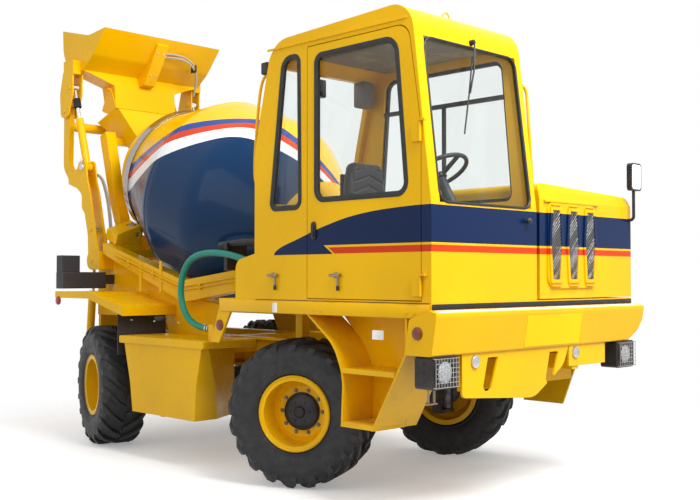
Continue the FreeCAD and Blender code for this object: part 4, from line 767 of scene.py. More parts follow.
def rounded(corners: Sequence[tuple[float, ...]], grow: float = 0.0) -> list[Flat]:
    """Round the corners of a convex outline and move it outward.

    Args:
        corners: Points with an optional third value, the corner's radius.
        grow: Distance to move the outline outward.

    Returns:
        The outline's points.
    """
    points: list[Flat] = []
    count = len(corners)
    area = sum(corners[i][0] * corners[(i + 1) % count][1] - corners[(i + 1) % count][0] * corners[i][1]
               for i in range(count))
    out = 1.0 if area > 0 else -1.0
    for i in range(count):
        before, here, after = (Vector(corners[(i + k) % count][:2]) for k in (-1, 0, 1))
        radius = corners[i][2] if len(corners[i]) > 2 else 0.0
        start, end = (here - before).normalized(), (after - here).normalized()
        turn = math.acos(max(-1.0, min(1.0, start.dot(end))))
        first = Vector((start.y, -start.x)) * out
        last = Vector((end.y, -end.x)) * out
        bisector = (first + last).normalized()
        narrow = max(0.05, math.cos(turn / 2))
        centre = here - bisector * (radius / narrow)
        if radius + grow <= 1e-4 or turn < 1e-3:
            points.append(tuple(here + bisector * (grow / narrow)))
            continue
        for step in range(CORNER_STEPS + 1):
            way = first.lerp(last, step / CORNER_STEPS).normalized()
            points.append(tuple(centre + way * (radius + grow)))
    return points


def oblong(low: Flat, high: Flat, radius: float) -> list[Flat]:
    """Give the outline of a rectangle with rounded corners."""
    (x0, y0), (x1, y1) = low, high
    return rounded(((x0, y0, radius), (x1, y0, radius), (x1, y1, radius), (x0, y1, radius)))


def circle(radius: float, count: int) -> list[Flat]:
    """Give evenly spaced points of a circle about the origin."""
    return [(radius * math.cos(math.tau * k / count), radius * math.sin(math.tau * k / count))
            for k in range(count)]


def laid(place: Matrix, points: Iterable[Sequence[float]]) -> list[Vector]:
    """Give points of a frame as points of the machine."""
    return [place @ Vector(point) for point in points]


def linked(name: str, data: bpy.types.ID) -> bpy.types.Object:
    """Put new data into the scene as an object."""
    item = bpy.data.objects.new(name, data)
    bpy.context.scene.collection.objects.link(item)
    return item


class Form:
    """A mesh under construction, in the machine's frame."""

    def __init__(self) -> None:
        """Start an empty mesh."""
        self.mesh = bmesh.new()

    def add(self, points: Iterable[Sequence[float]], faces: Iterable[Sequence[int]],
            place: Matrix | None = None) -> "Form":
        """Add points and faces.

        Args:
            points: Corner points.
            faces: Faces as indices into the points.
            place: Frame of the points, or None for the machine's frame.

        Returns:
            The form itself.
        """
        frame = place or Matrix.Identity(4)
        verts = [self.mesh.verts.new(frame @ Vector(p)) for p in points]
        for face in faces:
            try:
                self.mesh.faces.new([verts[i] for i in face])
            except ValueError:
                continue
        return self

    def rings(self, rows: Sequence[Sequence[Sequence[float]]], place: Matrix | None = None,
              closed: bool = True, looped: bool = False) -> "Form":
        """Skin a row of rings that have equal numbers of points, with a face on each open end.

        Args:
            rows: The rings, each a list of points.
            place: Frame of the points.
            closed: Each ring closes on itself.
            looped: The last ring joins the first.

        Returns:
            The form itself.
        """
        size = len(rows[0])
        faces: list[list[int]] = []
        pairs = len(rows) if looped else len(rows) - 1
        for r in range(pairs):
            base, upper = r * size, ((r + 1) % len(rows)) * size
            for i in range(size if closed else size - 1):
                j = (i + 1) % size
                faces.append([base + i, base + j, upper + j, upper + i])
        if not looped:
            faces.append(list(range(size))[::-1])
            faces.append([(len(rows) - 1) * size + i for i in range(size)])
        return self.add([p for row in rows for p in row], faces, place)

    def turned(self, profile: Sequence[Flat], place: Matrix, steps: int, closed: bool = False) -> "Form":
        """Turn a profile of radius and height about the frame's Z.

        Args:
            profile: Pairs of radius and height.
            place: The frame.
            steps: Segments round the axis.
            closed: The profile is a closed loop.

        Returns:
            The form itself.
        """
        rows = []
        for step in range(steps):
            angle = math.tau * step / steps
            rows.append([(max(r, 1e-5) * math.cos(angle), max(r, 1e-5) * math.sin(angle), h)
                         for r, h in profile])
        return self.rings(rows, place, closed, looped=True)

    def box(self, low: Sequence[float], high: Sequence[float], round_by: float = 0.002,
            place: Matrix | None = None) -> "Form":
        """Add a block with rounded edges.

        Args:
            low: Lowest corner.
            high: Highest corner.
            round_by: Width of the rounded edges.
            place: Frame of both corners.

        Returns:
            The form itself.
        """
        block = bmesh.new()
        bmesh.ops.create_cube(block, size=1.0)
        size = Vector(high) - Vector(low)
        centre = (Vector(high) + Vector(low)) / 2
        for vert in block.verts:
            vert.co = Vector((vert.co.x * size.x, vert.co.y * size.y, vert.co.z * size.z)) + centre
        if round_by > 0:
            reach = min(round_by, min(abs(s) for s in size) * 0.45)
            bmesh.ops.bevel(block, geom=list(block.edges), offset=reach, segments=2, affect="EDGES",
                            profile=0.5)
        return self.absorb(block, place)

    def absorb(self, other: bmesh.types.BMesh, place: Matrix | None = None) -> "Form":
        """Move another mesh's faces into this one.

        Args:
            other: The mesh, which is freed.
            place: Frame of its points.

        Returns:
            The form itself.
        """
        other.verts.index_update()
        self.add([v.co.copy() for v in other.verts], [[v.index for v in f.verts] for f in other.faces], place)
        other.free()
        return self

    def prism(self, outline: Sequence[Flat], low: float, high: float, place: Matrix | None = None,
              round_by: float = 0.0) -> "Form":
        """Raise an outline of the frame's XY into a plate.

        Args:
            outline: Points of the outline.
            low: Lower face.
            high: Upper face.
            place: The frame.
            round_by: Width of the rounded edges.

        Returns:
            The form itself.
        """
        plate = bmesh.new()
        base = [plate.verts.new((x, y, low)) for x, y in outline]
        top = [plate.verts.new((x, y, high)) for x, y in outline]
        plate.faces.new(base[::-1])
        plate.faces.new(top)
        for i in range(len(outline)):
            j = (i + 1) % len(outline)
            plate.faces.new((base[i], base[j], top[j], top[i]))
        if round_by > 0:
            rims = [e for e in plate.edges if abs(e.verts[0].co.z - e.verts[1].co.z) < 1e-9]
            bmesh.ops.bevel(plate, geom=rims, offset=min(round_by, abs(high - low) * 0.45), segments=2,
                            affect="EDGES", profile=0.5)
        return self.absorb(plate, place)

    def collar(self, corners: Sequence[tuple[float, ...]], section: tuple[float, float, float, float],
               place: Matrix, crown: float) -> "Form":
        """Add a closed frame of flat section that follows a rounded outline.

        Args:
            corners: The outline's corners with their radii.
            section: Reach inside and outside the outline, and height of the lower and upper face.
            place: The frame of the outline.
            crown: Extra height at the middle of the section.

        Returns:
            The form itself.
        """
        inner, outer, low, high = section
        edge = min(0.003, (high - low) / 3)
        profile = ((-inner, low), (-inner, high - edge), (-inner * 0.8, high),
                   ((outer - inner) / 2, high + crown), (outer * 0.8, high), (outer, high - edge),
                   (outer, low))
        loops = [[(x, y, height) for x, y in rounded(corners, grow)] for grow, height in profile]
        return self.rings(list(zip(*loops)), place, looped=True)

    def tube(self, points: Sequence[Sequence[float]], radius: float | Callable[[float], float],
             sides: int, closed: bool = False) -> "Form":
        """Sweep a circle along points.

        Args:
            points: Points of the centreline.
            radius: Radius, or a function of the share along the line.
            sides: Segments round the tube.
            closed: The line closes on itself.

        Returns:
            The form itself.
        """
        line = [Vector(p) for p in points]
        count = len(line)
        rows = []
        side = None
        for i, point in enumerate(line):
            after = line[(i + 1) % count] if closed or i < count - 1 else point
            before = line[i - 1] if closed or i > 0 else point
            along = (after - before).normalized()
            if side is None:
                side = along.orthogonal().normalized()
            side = (side - along * side.dot(along)).normalized()
            other = along.cross(side)
            reach = radius(i / max(1, count - 1)) if callable(radius) else radius
            rows.append([point + (side * c + other * s) * reach for c, s in circle(1.0, sides)])
        return self.rings(rows, looped=closed)

    def bolt(self, centre: Sequence[float], normal: Sequence[float], size: float = 0.012,
             turn: float = 0.3) -> "Form":
        """Add a hexagon head on its washer.

        Args:
            centre: Where the washer sits.
            normal: Direction that the head faces.
            size: Radius of the head's corners.
            turn: Angle about the normal.

        Returns:
            The form itself.
        """
        place = frame_on(centre, normal, turn)
        self.turned([(size * 1.25, 0.0), (size * 1.25, size * 0.16), (0.0, size * 0.18)], place, 20)
        levels = ((1.0, 0.16), (1.0, 0.68), (0.90, 0.78))
        rows = [[(x * wide, y * wide, size * high) for x, y in circle(size, 6)] for wide, high in levels]
        return self.rings(rows, place)

    def bead(self, points: Sequence[Sequence[float]], width: float) -> "Form":
        """Lay a rippled weld bead along points.

        Args:
            points: Points of the joint.
            width: Radius of the bead.

        Returns:
            The form itself.
        """
        line = resample(points, width * 1.1)
        ripples = [width * (0.88 + 0.12 * (i % 2)) for i in range(len(line))]
        return self.tube(line, lambda share: ripples[round(share * (len(line) - 1))], 6)

    def piece(self, name: str, material: bpy.types.Material, slot: str, body: str = "machine",
              sharp: float = 32.0) -> bpy.types.Object:
        """Turn the form into an object that rides on a body.

        Args:
            name: The piece's name.
            material: Its finish.
            slot: The record's material slot.
            body: The CAD body that it rides on.
            sharp: Angle in degrees above which an edge stays sharp.

        Returns:
            The object.
        """
        bmesh.ops.recalc_face_normals(self.mesh, faces=self.mesh.faces)
        data = self.data(name, material)
        data.shade_smooth()
        data.set_sharp_from_angle(angle=math.radians(sharp))
        item = linked(name, data)
        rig.ride(item, body)
        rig.slot(item, slot)
        log.info("%s rides on %s: %d faces", name, body, len(data.polygons))
        return item

    def data(self, name: str, material: bpy.types.Material) -> bpy.types.Mesh:
        """Turn the form into mesh data with a finish, and free the form."""
        data = bpy.data.meshes.new(name)
        self.mesh.to_mesh(data)
        self.mesh.free()
        data.materials.append(material)
        return data


def resample(points: Sequence[Sequence[float]], step: float) -> list[Vector]:
    """Give points a step apart along a broken line.

    Args:
        points: Points of the line.
        step: Distance between the new points.

    Returns:
        The new points.
    """
    line = [Vector(p) for p in points]
    lengths = [(b - a).length for a, b in zip(line, line[1:])]
    total = sum(lengths)
    count = max(2, round(total / step))
    made: list[Vector] = []
    for k in range(count + 1):
        left = total * k / count
        for i, length in enumerate(lengths):
            if left <= length or i == len(lengths) - 1:
                made.append(line[i].lerp(line[i + 1], min(1.0, left / max(length, 1e-9))))
                break
            left -= length
    return made


def smooth_line(points: Sequence[Sequence[float]], steps: int) -> list[Vector]:
    """Give a smooth line through control points, by a uniform quadratic B-spline with fixed ends.

    Args:
        points: The control points.
        steps: Points for each control point.

    Returns:
        Points of the smooth line.
    """
    line = [Vector(p) for p in points]
    made = [line[0]]
    for i in range(1, len(line) - 1):
        start = line[0] if i == 1 else (line[i - 1] + line[i]) / 2
        end = line[-1] if i == len(line) - 2 else (line[i] + line[i + 1]) / 2
        for step in range(1, steps + 1):
            t = step / steps
            made.append(start * (1 - t) ** 2 + line[i] * 2 * t * (1 - t) + end * t ** 2)
    return made


def side_span(side: Side, near: float, far: float) -> list[float]:
    """Give the lower and the higher Y of a stretch between two distances from the centre plane."""
    return sorted((side.value * near, side.value * far))


def side_frame(side: Side, y: float) -> Matrix:
    """Give the frame of a side face: its XY are the machine's X and Z, and its Z points outward.

    Args:
        side: Which side.
        y: Distance of the face from the centre plane.

    Returns:
        The frame. On the left side, its X is the machine's X with its sign kept.
    """
    out = side.value
    return Matrix(((1, 0, 0, 0), (0, 0, out, out * y), (0, 1, 0, 0), (0, 0, 0, 1)))


def leaning_frame(foot: Point, lean: float) -> Matrix:
    """Give the frame of a front face that leans: X to the left, Y up the face, Z outward.

    Args:
        foot: The frame's origin.
        lean: How far the face runs forward for each metre of height.

    Returns:
        The frame.
    """
    up, across = Vector((lean, 0, 1)).normalized(), Vector((0, 1, 0))
    return Matrix.Translation(foot) @ Matrix((across, up, across.cross(up))).transposed().to_4x4()


def front_frame(x: float) -> Matrix:
    """Give the frame of a front face: its XY are the machine's Y and Z, and its Z points forward."""
    return Matrix(((0, 0, 1, x), (1, 0, 0, 0), (0, 1, 0, 0), (0, 0, 0, 1)))


# ---------------------------------------------------------------- studio


@dataclass
class Studio:
    """Camera, soft lights, pale floor and white surroundings."""

    lens: float = 51.55
    azimuth: float = 45.22
    pitch: float = 1.5
    stand: Point = (6.67, -5.86, 1.525)
    key: float = 860.0
    fill: float = 70.0
    sky: float = 0.66

    def camera(self) -> None:
        """Stand the camera at the front right of the machine."""
        side, rise = math.radians(self.azimuth), math.radians(self.pitch)
        look = Vector((-math.sin(side) * math.cos(rise), math.cos(side) * math.cos(rise), math.sin(rise)))
        data = bpy.data.cameras.new("camera")
        data.lens = self.lens
        item = linked("camera", data)
        item.location = self.stand
        item.rotation_euler = look.to_track_quat("-Z", "Y").to_euler()
        bpy.context.scene.camera = item

    def lamp(self, name: str, place: Point, aim: Point, size: float, power: float) -> None:
        """Hang one soft light.

        Args:
            name: The light's name.
            place: Where it hangs.
            aim: The point that it faces.
            size: Length of its sides.
            power: Its power in watts.
        """
        data = bpy.data.lights.new(name, "AREA")
        data.size, data.energy = size, power
        item = linked(name, data)
        item.location = place
        item.rotation_euler = (Vector(aim) - Vector(place)).to_track_quat("-Z", "Y").to_euler()

    def surroundings(self) -> None:
        """Make the surroundings white to the eye and a softer white as a light."""
        world = bpy.data.worlds.new("surroundings")
        world.use_nodes = True
        tree, back = Tree(world.node_tree), world.node_tree.nodes["Background"]
        span = tree.node("MapRange")
        tree.put(span.inputs["Value"], tree.seen())
        tree.put(span.inputs["To Min"], self.sky)
        tree.put(back.inputs["Strength"], span.outputs[0])
        tree.put(back.inputs["Color"], (1.0, 1.0, 1.0))
        bpy.context.scene.world = world

    def floor(self) -> None:
        """Lay the floor, which fades into the surroundings away from the machine."""
        graph = Graph("pale_floor")
        x, y, _ = graph.split(graph.place)
        seen = graph.seen()
        grain = graph.mix(graph.noise(3.0, 4.0), (0.90, 0.90, 0.90), (0.94, 0.94, 0.94))
        graph.set(Base_Color=graph.mix(seen, (0.42, 0.42, 0.42), grain), Emission_Color=(1.0, 1.0, 1.0),
                  Emission_Strength=graph.times(seen, 0.28), Roughness=graph.uneven(6.0, 3.0, 0.75, 0.9),
                  Alpha=graph.ramp(graph.length(x, y), 2.6, 5.2, 1.0, 0.0))
        form = Form().add([(-9, -9, 0), (9, -9, 0), (9, 9, 0), (-9, 9, 0)], [(0, 1, 2, 3)])
        item = linked("floor", form.data("floor", graph.material))
        item.location.z = -0.001
        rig.stage(item)

    def build(self) -> None:
        """Set up the camera, the lights, the floor and the surroundings."""
        self.camera()
        self.lamp("key", (6.2, -0.6, 7.2), (0.8, 0.0, 1.7), 4.5, self.key)
        self.lamp("fill", (1.0, -7.5, 4.5), (0.2, 0.0, 1.4), 4.5, self.fill)
        self.surroundings()
        self.floor()
        bpy.context.scene.view_settings.view_transform = "Standard"


@dataclass
class Coats:
    """The finish of each CAD piece."""

    shop: Shop

    def lay(self, nodes: dict[str, bpy.types.Object]) -> None:
        """Give every piece its finish.

        Args:
            nodes: The CAD pieces by name.
        """
        shop = self.shop
        groups = {
            shop.cab: ("cab_shell", "cab_door", "cab_roof", "engine_hood"),
            shop.drum: ("drum",),
            shop.glass: ("cab_glass", "door_glass"),
            shop.worn_yellow: ("bucket", "bucket_gate", "boom", "loading_hopper", "discharge_chute",
                               "front_steps"),
            shop.dark_paint: ("axles", "drum_gearbox", "engine_block", "engine_bulkhead", "rear_lamps"),
            shop.cast: tuple(name for name in nodes if name.startswith("knuckle_")),
            shop.chrome: ("lift_rods", "tilt_rods"),
            shop.ground: ("roller_left", "roller_right"),
            shop.moulding: ("dashboard", "seat_base"),
            shop.satin_black: ("steering_wheel", "pump_pipe", "mirror"),
            shop.lamp_black: ("head_lamps",),
            shop.flap: ("mud_flaps",),
            shop.hose: ("suction_hose",),
            shop.vinyl: ("seat_cushions",),
            shop.tyre: tuple(name for name in nodes if name.startswith("tyre_")),
        }
        finish = {name: paint for paint, names in groups.items() for name in names}
        for name, item in nodes.items():
            item.data.materials.clear()
            item.data.materials.append(finish.get(name, shop.yellow))
        log.info("finishes laid on %d pieces", len(nodes))


# ---------------------------------------------------------------- sub-assemblies


@dataclass
class SuctionHose:
    """Green suction hose in a free bow from the pump pipe down to the water tank."""

    shop: Shop
    diameter: float = 0.052
    side: float = -1.050
    route: tuple[Flat, ...] = ((0.720, 1.640), (0.480, 1.712), (0.031, 1.710), (-0.145, 1.534),
                               (-0.145, 1.286), (0.031, 1.110), (0.274, 1.110))

    def build(self) -> None:
        """Lay the hose along its route."""
        points = [(x, self.side, z) for x, z in self.route]
        data = bpy.data.curves.new("suction_hose_run", "CURVE")
        data.dimensions = "3D"
        data.bevel_depth = self.diameter / 2
        data.bevel_resolution = 8
        data.use_fill_caps = True
        line = data.splines.new("NURBS")
        line.points.add(len(points) - 1)
        for knot, point in zip(line.points, points):
            knot.co = (*point, 1.0)
        line.order_u = 3
        line.use_endpoint_u = True
        line.resolution_u = 24
        data.materials.append(self.shop.hose)
        item = linked("suction_hose_run", data)
        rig.ride(item, "machine")
        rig.slot(item, "hose_green")
        smooth = smooth_line(points, 60)
        length = sum((b - a).length for a, b in zip(smooth, smooth[1:]))
        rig.cord(item, points[0], length, self.diameter, "object", "stiff")
        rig.replaces(item, "suction_hose")
        ends, clamp = Form(), ((0.0275, -0.006), (0.0295, -0.006), (0.0295, 0.006), (0.0275, 0.006))
        for point, way in ((points[0], (1, 0, 0.25)), (points[-1], AHEAD)):
            for step in (0.030, 0.062):
                spot = Vector(point) - Vector(way) * step
                ends.turned(clamp, frame_on(spot, way), 28, closed=True)
        ends.piece("hose_clamps", self.shop.zinc, "bare_steel")
        log.info("suction hose %.3f m long", length)


@dataclass
class Wheel:
    """One wheel: tyre with chevron lugs, hub cover, nuts and valve."""

    shop: Shop
    name: str
    axle: float
    side: Side
    steer: float
    reach: float = 0.115
    kingpin: float = 0.800
    radius: float = 0.5375
    half: float = 0.205
    lugs: int = 20
    lug_deep: float = 0.030
    cover: tuple[Flat, ...] = ((0.0, 0.078), (0.034, 0.078), (0.040, 0.072), (0.044, 0.067),
                               (0.092, 0.066), (0.106, 0.060), (0.1275, 0.050), (0.1300, 0.044),
                               (0.1300, 0.016), (0.140, 0.0145))
    cover_bolts: Flat = (0.075, 0.066)
    nut_circle: Flat = (0.158, 0.0145)
    lock_ring: Flat = (0.2665, 0.1775)
    valve: tuple[Point, ...] = ((0.205, 0.03, 0.02), (0.208, 0.03, 0.06), (0.214, 0.03, 0.085))

    @property
    def body(self) -> str:
        """Name the CAD body that the wheel's pieces ride on."""
        return f"wheel_{self.name}_body"

    def frame(self) -> Matrix:
        """Give the wheel's frame, whose Z points outward along the axle."""
        turn, out = math.radians(self.steer), self.side.value
        centre = Vector((self.axle - out * self.reach * math.sin(turn),
                         out * (self.kingpin + self.reach * math.cos(turn)), self.radius))
        spin = turn if self.side is Side.RIGHT else turn + math.pi
        upright = Matrix.Rotation(spin, 4, "Z")
        return Matrix.Translation(centre) @ upright @ Matrix.Rotation(math.pi / 2, 4, "X")

    def lug(self, form: Form, place: Matrix, start: float, face: int) -> None:
        """Add one lug from the middle of the tread over its shoulder.

        Args:
            form: The tyre's mesh.
            place: The wheel's frame.
            start: Angle at which the lug starts, in radians.
            face: 1 for the outer half of the tread, -1 for the inner half.
        """
        stations = ((0.004, 0.000, 1.0), (0.050, 0.030, 1.0), (0.100, 0.078, 1.0), (0.148, 0.132, 1.0),
                    (0.178, 0.160, 0.962), (0.197, 0.172, 0.920), (0.201, 0.176, 0.850))
        rows = []
        for high, ahead, share in stations:
            top, low = self.radius * share, self.radius * share - self.lug_deep - 0.012
            wide = 0.024 + 0.006 * high / self.half
            row = []
            for reach, across in ((low, -1.25), (top - 0.005, -0.94), (top, -0.80), (top, 0.80),
                                  (top - 0.005, 0.94), (low, 1.25)):
                angle = start + (ahead + across * wide) / self.radius
                lift = high * (0.93 if reach == low and share < 1.0 else 1.0)
                row.append((reach * math.cos(angle), reach * math.sin(angle), face * lift))
            rows.append(row)
        form.rings(rows, place)

    def tyre(self, place: Matrix) -> None:
        """Build the carcass with its lugs."""
        base = self.radius - self.lug_deep
        outer = [(0.2440, 0.160), (0.2760, 0.164), (0.2850, 0.178), (0.2960, 0.186), (0.3040, 0.184),
                 (0.3120, 0.190), (0.3500, 0.200), (0.4050, 0.2035), (0.4500, 0.199), (0.4800, 0.186),
                 (base - 0.006, 0.160), (base, 0.120), (base + 0.002, 0.0)]
        profile = outer + [(r, -h) for r, h in reversed(outer[:-1])]
        form = Form().turned(profile, place, 96, closed=True)
        pitch = math.tau / self.lugs
        for k in range(self.lugs):
            self.lug(form, place, k * pitch, 1)
            self.lug(form, place, (k + 0.5) * pitch, -1)
        item = form.piece(f"tyre_tread_{self.name}", self.shop.tyre, "tyre_rubber", self.body, 28.0)
        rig.replaces(item, f"tyre_{self.name}")

    def build(self) -> None:
        """Build the wheel's pieces."""
        place, body = self.frame(), self.body
        axis = place.to_3x3() @ Vector(UP)
        self.tyre(place)
        cover = Form().turned(self.cover, place, 48)
        reach, high = self.cover_bolts
        for x, y in circle(reach, 6):
            cover.bolt(place @ Vector((x, y, high)), axis, 0.008)
        cover.piece(f"hub_cover_{self.name}", self.shop.satin_black, "cast_steel", body)
        nuts = Form()
        reach, high = self.nut_circle
        for k, (x, y) in enumerate(circle(reach, 10)):
            nuts.bolt(place @ Vector((x, y, high)), axis, 0.0125, math.tau * k / 10)
        nuts.piece(f"wheel_nuts_{self.name}", self.shop.nut, "cast_steel", body)
        reach, high = self.lock_ring
        ring = laid(place, [(x, y, high) for x, y in circle(reach, 72)])
        trim = Form().tube(ring, 0.0055, 8, closed=True)
        trim.tube(laid(place, self.valve), 0.004, 8)
        trim.piece(f"rim_lock_ring_{self.name}", self.shop.yellow, "yellow_paint", body)


@dataclass
class Cab:
    """Glazing rubbers, hardware and lining of the driver's cab."""

    shop: Shop
    quarter: tuple[Point, ...] = ((1.150, 2.000, 0.050), (1.475, 2.000, 0.060), (1.462, 3.080, 0.060),
                                  (1.285, 3.080, 0.090))
    door: tuple[Point, ...] = ((1.625, 2.040, 0.080), (2.478, 2.040, 0.080), (2.385, 3.050, 0.110),
                               (1.625, 3.050, 0.060))
    left: tuple[Point, ...] = ((1.200, 2.050, 0.060), (2.500, 2.050, 0.060), (2.410, 3.060, 0.090),
                               (1.280, 3.060, 0.090))
    screen: tuple[Point, ...] = ((-1.105, 0.0, 0.080), (-0.135, 0.0, 0.080), (-0.135, 1.068, 0.080),
                                 (-1.105, 1.068, 0.080))
    lean: float = -0.1279
    sill: float = 1.985
    broad: tuple[float, float, float, float] = (0.026, 0.012, -0.022, 0.004)
    slim: tuple[float, float, float, float] = (0.012, 0.006, -0.022, 0.002)
    crown: float = 0.003
    rails: tuple[tuple[Point, ...], ...] = (
        ((1.010, -1.150, 2.16), (0.950, -1.160, 2.17), (0.935, -1.165, 2.35),
         (0.990, -1.165, 2.85), (1.040, -1.160, 3.00), (1.085, -1.150, 3.00)),
        ((2.600, -0.062, 2.10), (2.600, -0.020, 2.11), (2.590, -0.015, 2.25),
         (2.555, -0.015, 2.75), (2.550, -0.020, 2.85), (2.550, -0.070, 2.86)))

    def screen_frame(self) -> Matrix:
        """Give the frame of the windscreen's opening."""
        return leaning_frame((FRONT_WALL, 0, self.sill), self.lean)

    def rubbers(self) -> None:
        """Fit the black rubber round each pane."""
        fixed, right = Form(), side_frame(Side.RIGHT, SIDE_WALL)
        fixed.collar(self.quarter, self.broad, right, self.crown)
        fixed.collar(self.left, self.broad, side_frame(Side.LEFT, -0.075), self.crown)
        fixed.collar(self.screen, self.slim, self.screen_frame(), self.crown)
        fixed.piece("window_rubbers", self.shop.rubber, "black_rubber")
        swung = Form().collar(self.door, self.broad, right, self.crown)
        swung.piece("door_window_rubber", self.shop.rubber, "black_rubber", "door_body")

    def wiper(self) -> None:
        """Hang the wiper from its motor above the windscreen."""
        frame = self.screen_frame()
        arm = Form().tube(laid(frame, ((-0.62, 1.10, 0.004), (-0.62, 1.08, 0.030), (-0.66, 0.90, 0.034),
                                       (-0.71, 0.74, 0.020))), 0.006, 8)
        motor = frame @ Matrix.Translation((-0.62, 1.10, 0))
        arm.turned(((0.0, 0.032), (0.016, 0.030), (0.020, 0.0)), motor, 20)
        arm.piece("wiper_arm", self.shop.satin_black, "black_plastic")
        line = laid(frame, ((-0.63, 1.00, 0.008), (-0.71, 0.74, 0.011), (-0.80, 0.46, 0.008)))
        blade = Form().tube(line, 0.0055, 6)
        blade.piece("wiper_blade", self.shop.rubber, "black_rubber")

    def handle(self) -> None:
        """Fit the door's handle."""
        face = side_frame(Side.RIGHT, SIDE_WALL)
        handle = Form().prism(oblong((1.592, 1.775), (1.636, 1.900), 0.020), 0.0, 0.012, face, 0.004)
        handle.box((1.602, 1.795, 0.010), (1.626, 1.880, 0.022), 0.005, face)
        handle.piece("door_handle", self.shop.satin_black, "black_plastic", "door_body")

    def latch(self, tag: str, x: float, z: float, body: str) -> None:
        """Fit one panel latch with its hanging lever.

        Args:
            tag: The latch's place, for the names.
            x: X of its pivot.
            z: Height of its pivot.
            body: The body that it rides on.
        """
        face = side_frame(Side.RIGHT, SIDE_WALL)
        latch = Form().turned(((0.0, 0.020), (0.015, 0.018), (0.021, 0.0)),
                              face @ Matrix.Translation((x, z, 0)), 24)
        latch.tube(laid(face, ((x - 0.050, z, 0.016), (x + 0.056, z, 0.018))), 0.010, 10)
        lever = ((x + 0.030, z, 0.018), (x + 0.032, z - 0.030, 0.020), (x + 0.030, z - 0.078, 0.018))
        latch.tube(laid(face, lever), 0.0085, 10)
        latch.piece(f"panel_latch_{tag}", self.shop.dull, "bare_steel", body)
        end = ((x + 0.030, z - 0.072, 0.018), (x + 0.030, z - 0.104, 0.017))
        tip = Form().tube(laid(face, end), 0.0105, 12)
        tip.piece(f"latch_grip_{tag}", self.shop.rubber, "black_rubber", body)

    def outside(self) -> None:
        """Fit the grab rails, the work lamp, the lifting eyes and the washer's knob."""
        rails = Form()
        for rail in self.rails:
            rails.tube(smooth_line(rail, 6), 0.011, 10)
        rails.piece("grab_rails", self.shop.yellow, "yellow_paint")
        lamp = Form().box((1.035, -1.190, 2.995), (1.110, -1.085, 3.085), 0.012)
        lamp.tube(((1.085, -1.135, 3.08), (1.120, -1.135, 3.115)), 0.009, 8)
        lamp.piece("work_lamp", self.shop.lamp_black, "lamp_plastic")
        lens = Form().box((1.030, -1.180, 3.005), (1.036, -1.095, 3.075), 0.002)
        lens.piece("work_lamp_lens", self.shop.clear, "lamp_plastic")
        eyes = Form()
        for x, y in ((1.42, -0.96), (2.24, -0.96), (1.42, -0.32), (2.24, -0.32)):
            eyes.turned(((0.0, 0.014), (0.014, 0.012), (0.020, 0.0)), frame_on((x, y, 3.2575), UP), 20)
        eyes.tube([(2.30, -0.60 + y, 3.290 + z) for y, z in circle(0.034, 28)], 0.006, 8, closed=True)
        eyes.piece("roof_lifting_eyes", self.shop.yellow, "yellow_paint")
        knob = Form().turned(((0.0, 0.050), (0.012, 0.046), (0.022, 0.032), (0.020, 0.018), (0.010, 0.008),
                              (0.010, 0.0)), frame_on((FRONT_WALL, -0.200, 1.900), AHEAD), 24)
        knob.piece("washer_knob", self.shop.satin_black, "black_plastic")

    def lining(self) -> None:
        """Fit the headliner, both boxes, the levers, the left window's bars and the steering knob."""
        lining = Form().box((1.300, -1.120, 3.1125), (2.440, -0.145, 3.128), 0.006)
        lining.piece("headliner", self.shop.liner, "black_plastic")
        fan = Form().box((1.100, -0.300, 2.850), (1.220, -0.170, 3.050), 0.018)
        for k in range(6):
            fan.box((1.218, -0.285, 2.868 + 0.028 * k), (1.224, -0.185, 2.878 + 0.028 * k), 0.001)
        speaker = Form().box((1.022, -0.800, 2.900), (1.075, -0.560, 3.040), 0.012)
        speaker.piece("rear_wall_box", self.shop.satin_black, "black_plastic")
        fan.piece("fan_box", self.shop.liner, "black_plastic")
        bar = Form().box((1.290, -0.150, 2.770), (2.440, -0.128, 2.805), 0.006)
        bar.box((1.880, -0.150, 2.060), (1.912, -0.128, 2.775), 0.006)
        for place, height in (((2.140, -0.330, 1.405), 0.62), ((2.080, -0.270, 1.405), 0.56)):
            top = (place[0] + 0.04, place[1], place[2] + height)
            bar.tube((place, top), 0.007, 8)
            bar.turned(((0.0, 0.030), (0.016, 0.024), (0.021, 0.0), (0.014, -0.022), (0.0, -0.026)),
                       frame_on(top, UP), 20)
        bar.piece("levers_and_bar", self.shop.satin_black, "black_plastic")
        centre, lean = Vector((2.290, -0.650, 2.190)), Matrix.Rotation(math.radians(-30), 4, "Y")
        spot = Matrix.Translation(centre) @ lean @ Matrix.Translation((0.0, -0.195, 0.018))
        spinner = Form().turned(((0.0, 0.052), (0.014, 0.048), (0.019, 0.034), (0.014, 0.012), (0.010, 0.0)),
                                spot, 20)
        spinner.piece("spinner_knob", self.shop.satin_black, "black_plastic", "steering_wheel_body")

    def build(self) -> None:
        """Build everything on the cab."""
        self.rubbers()
        self.wiper()
        self.handle()
        self.latch("rear", 1.190, 1.532, "machine")
        self.latch("door", 1.833, 1.532, "door_body")
        self.outside()
        self.lining()


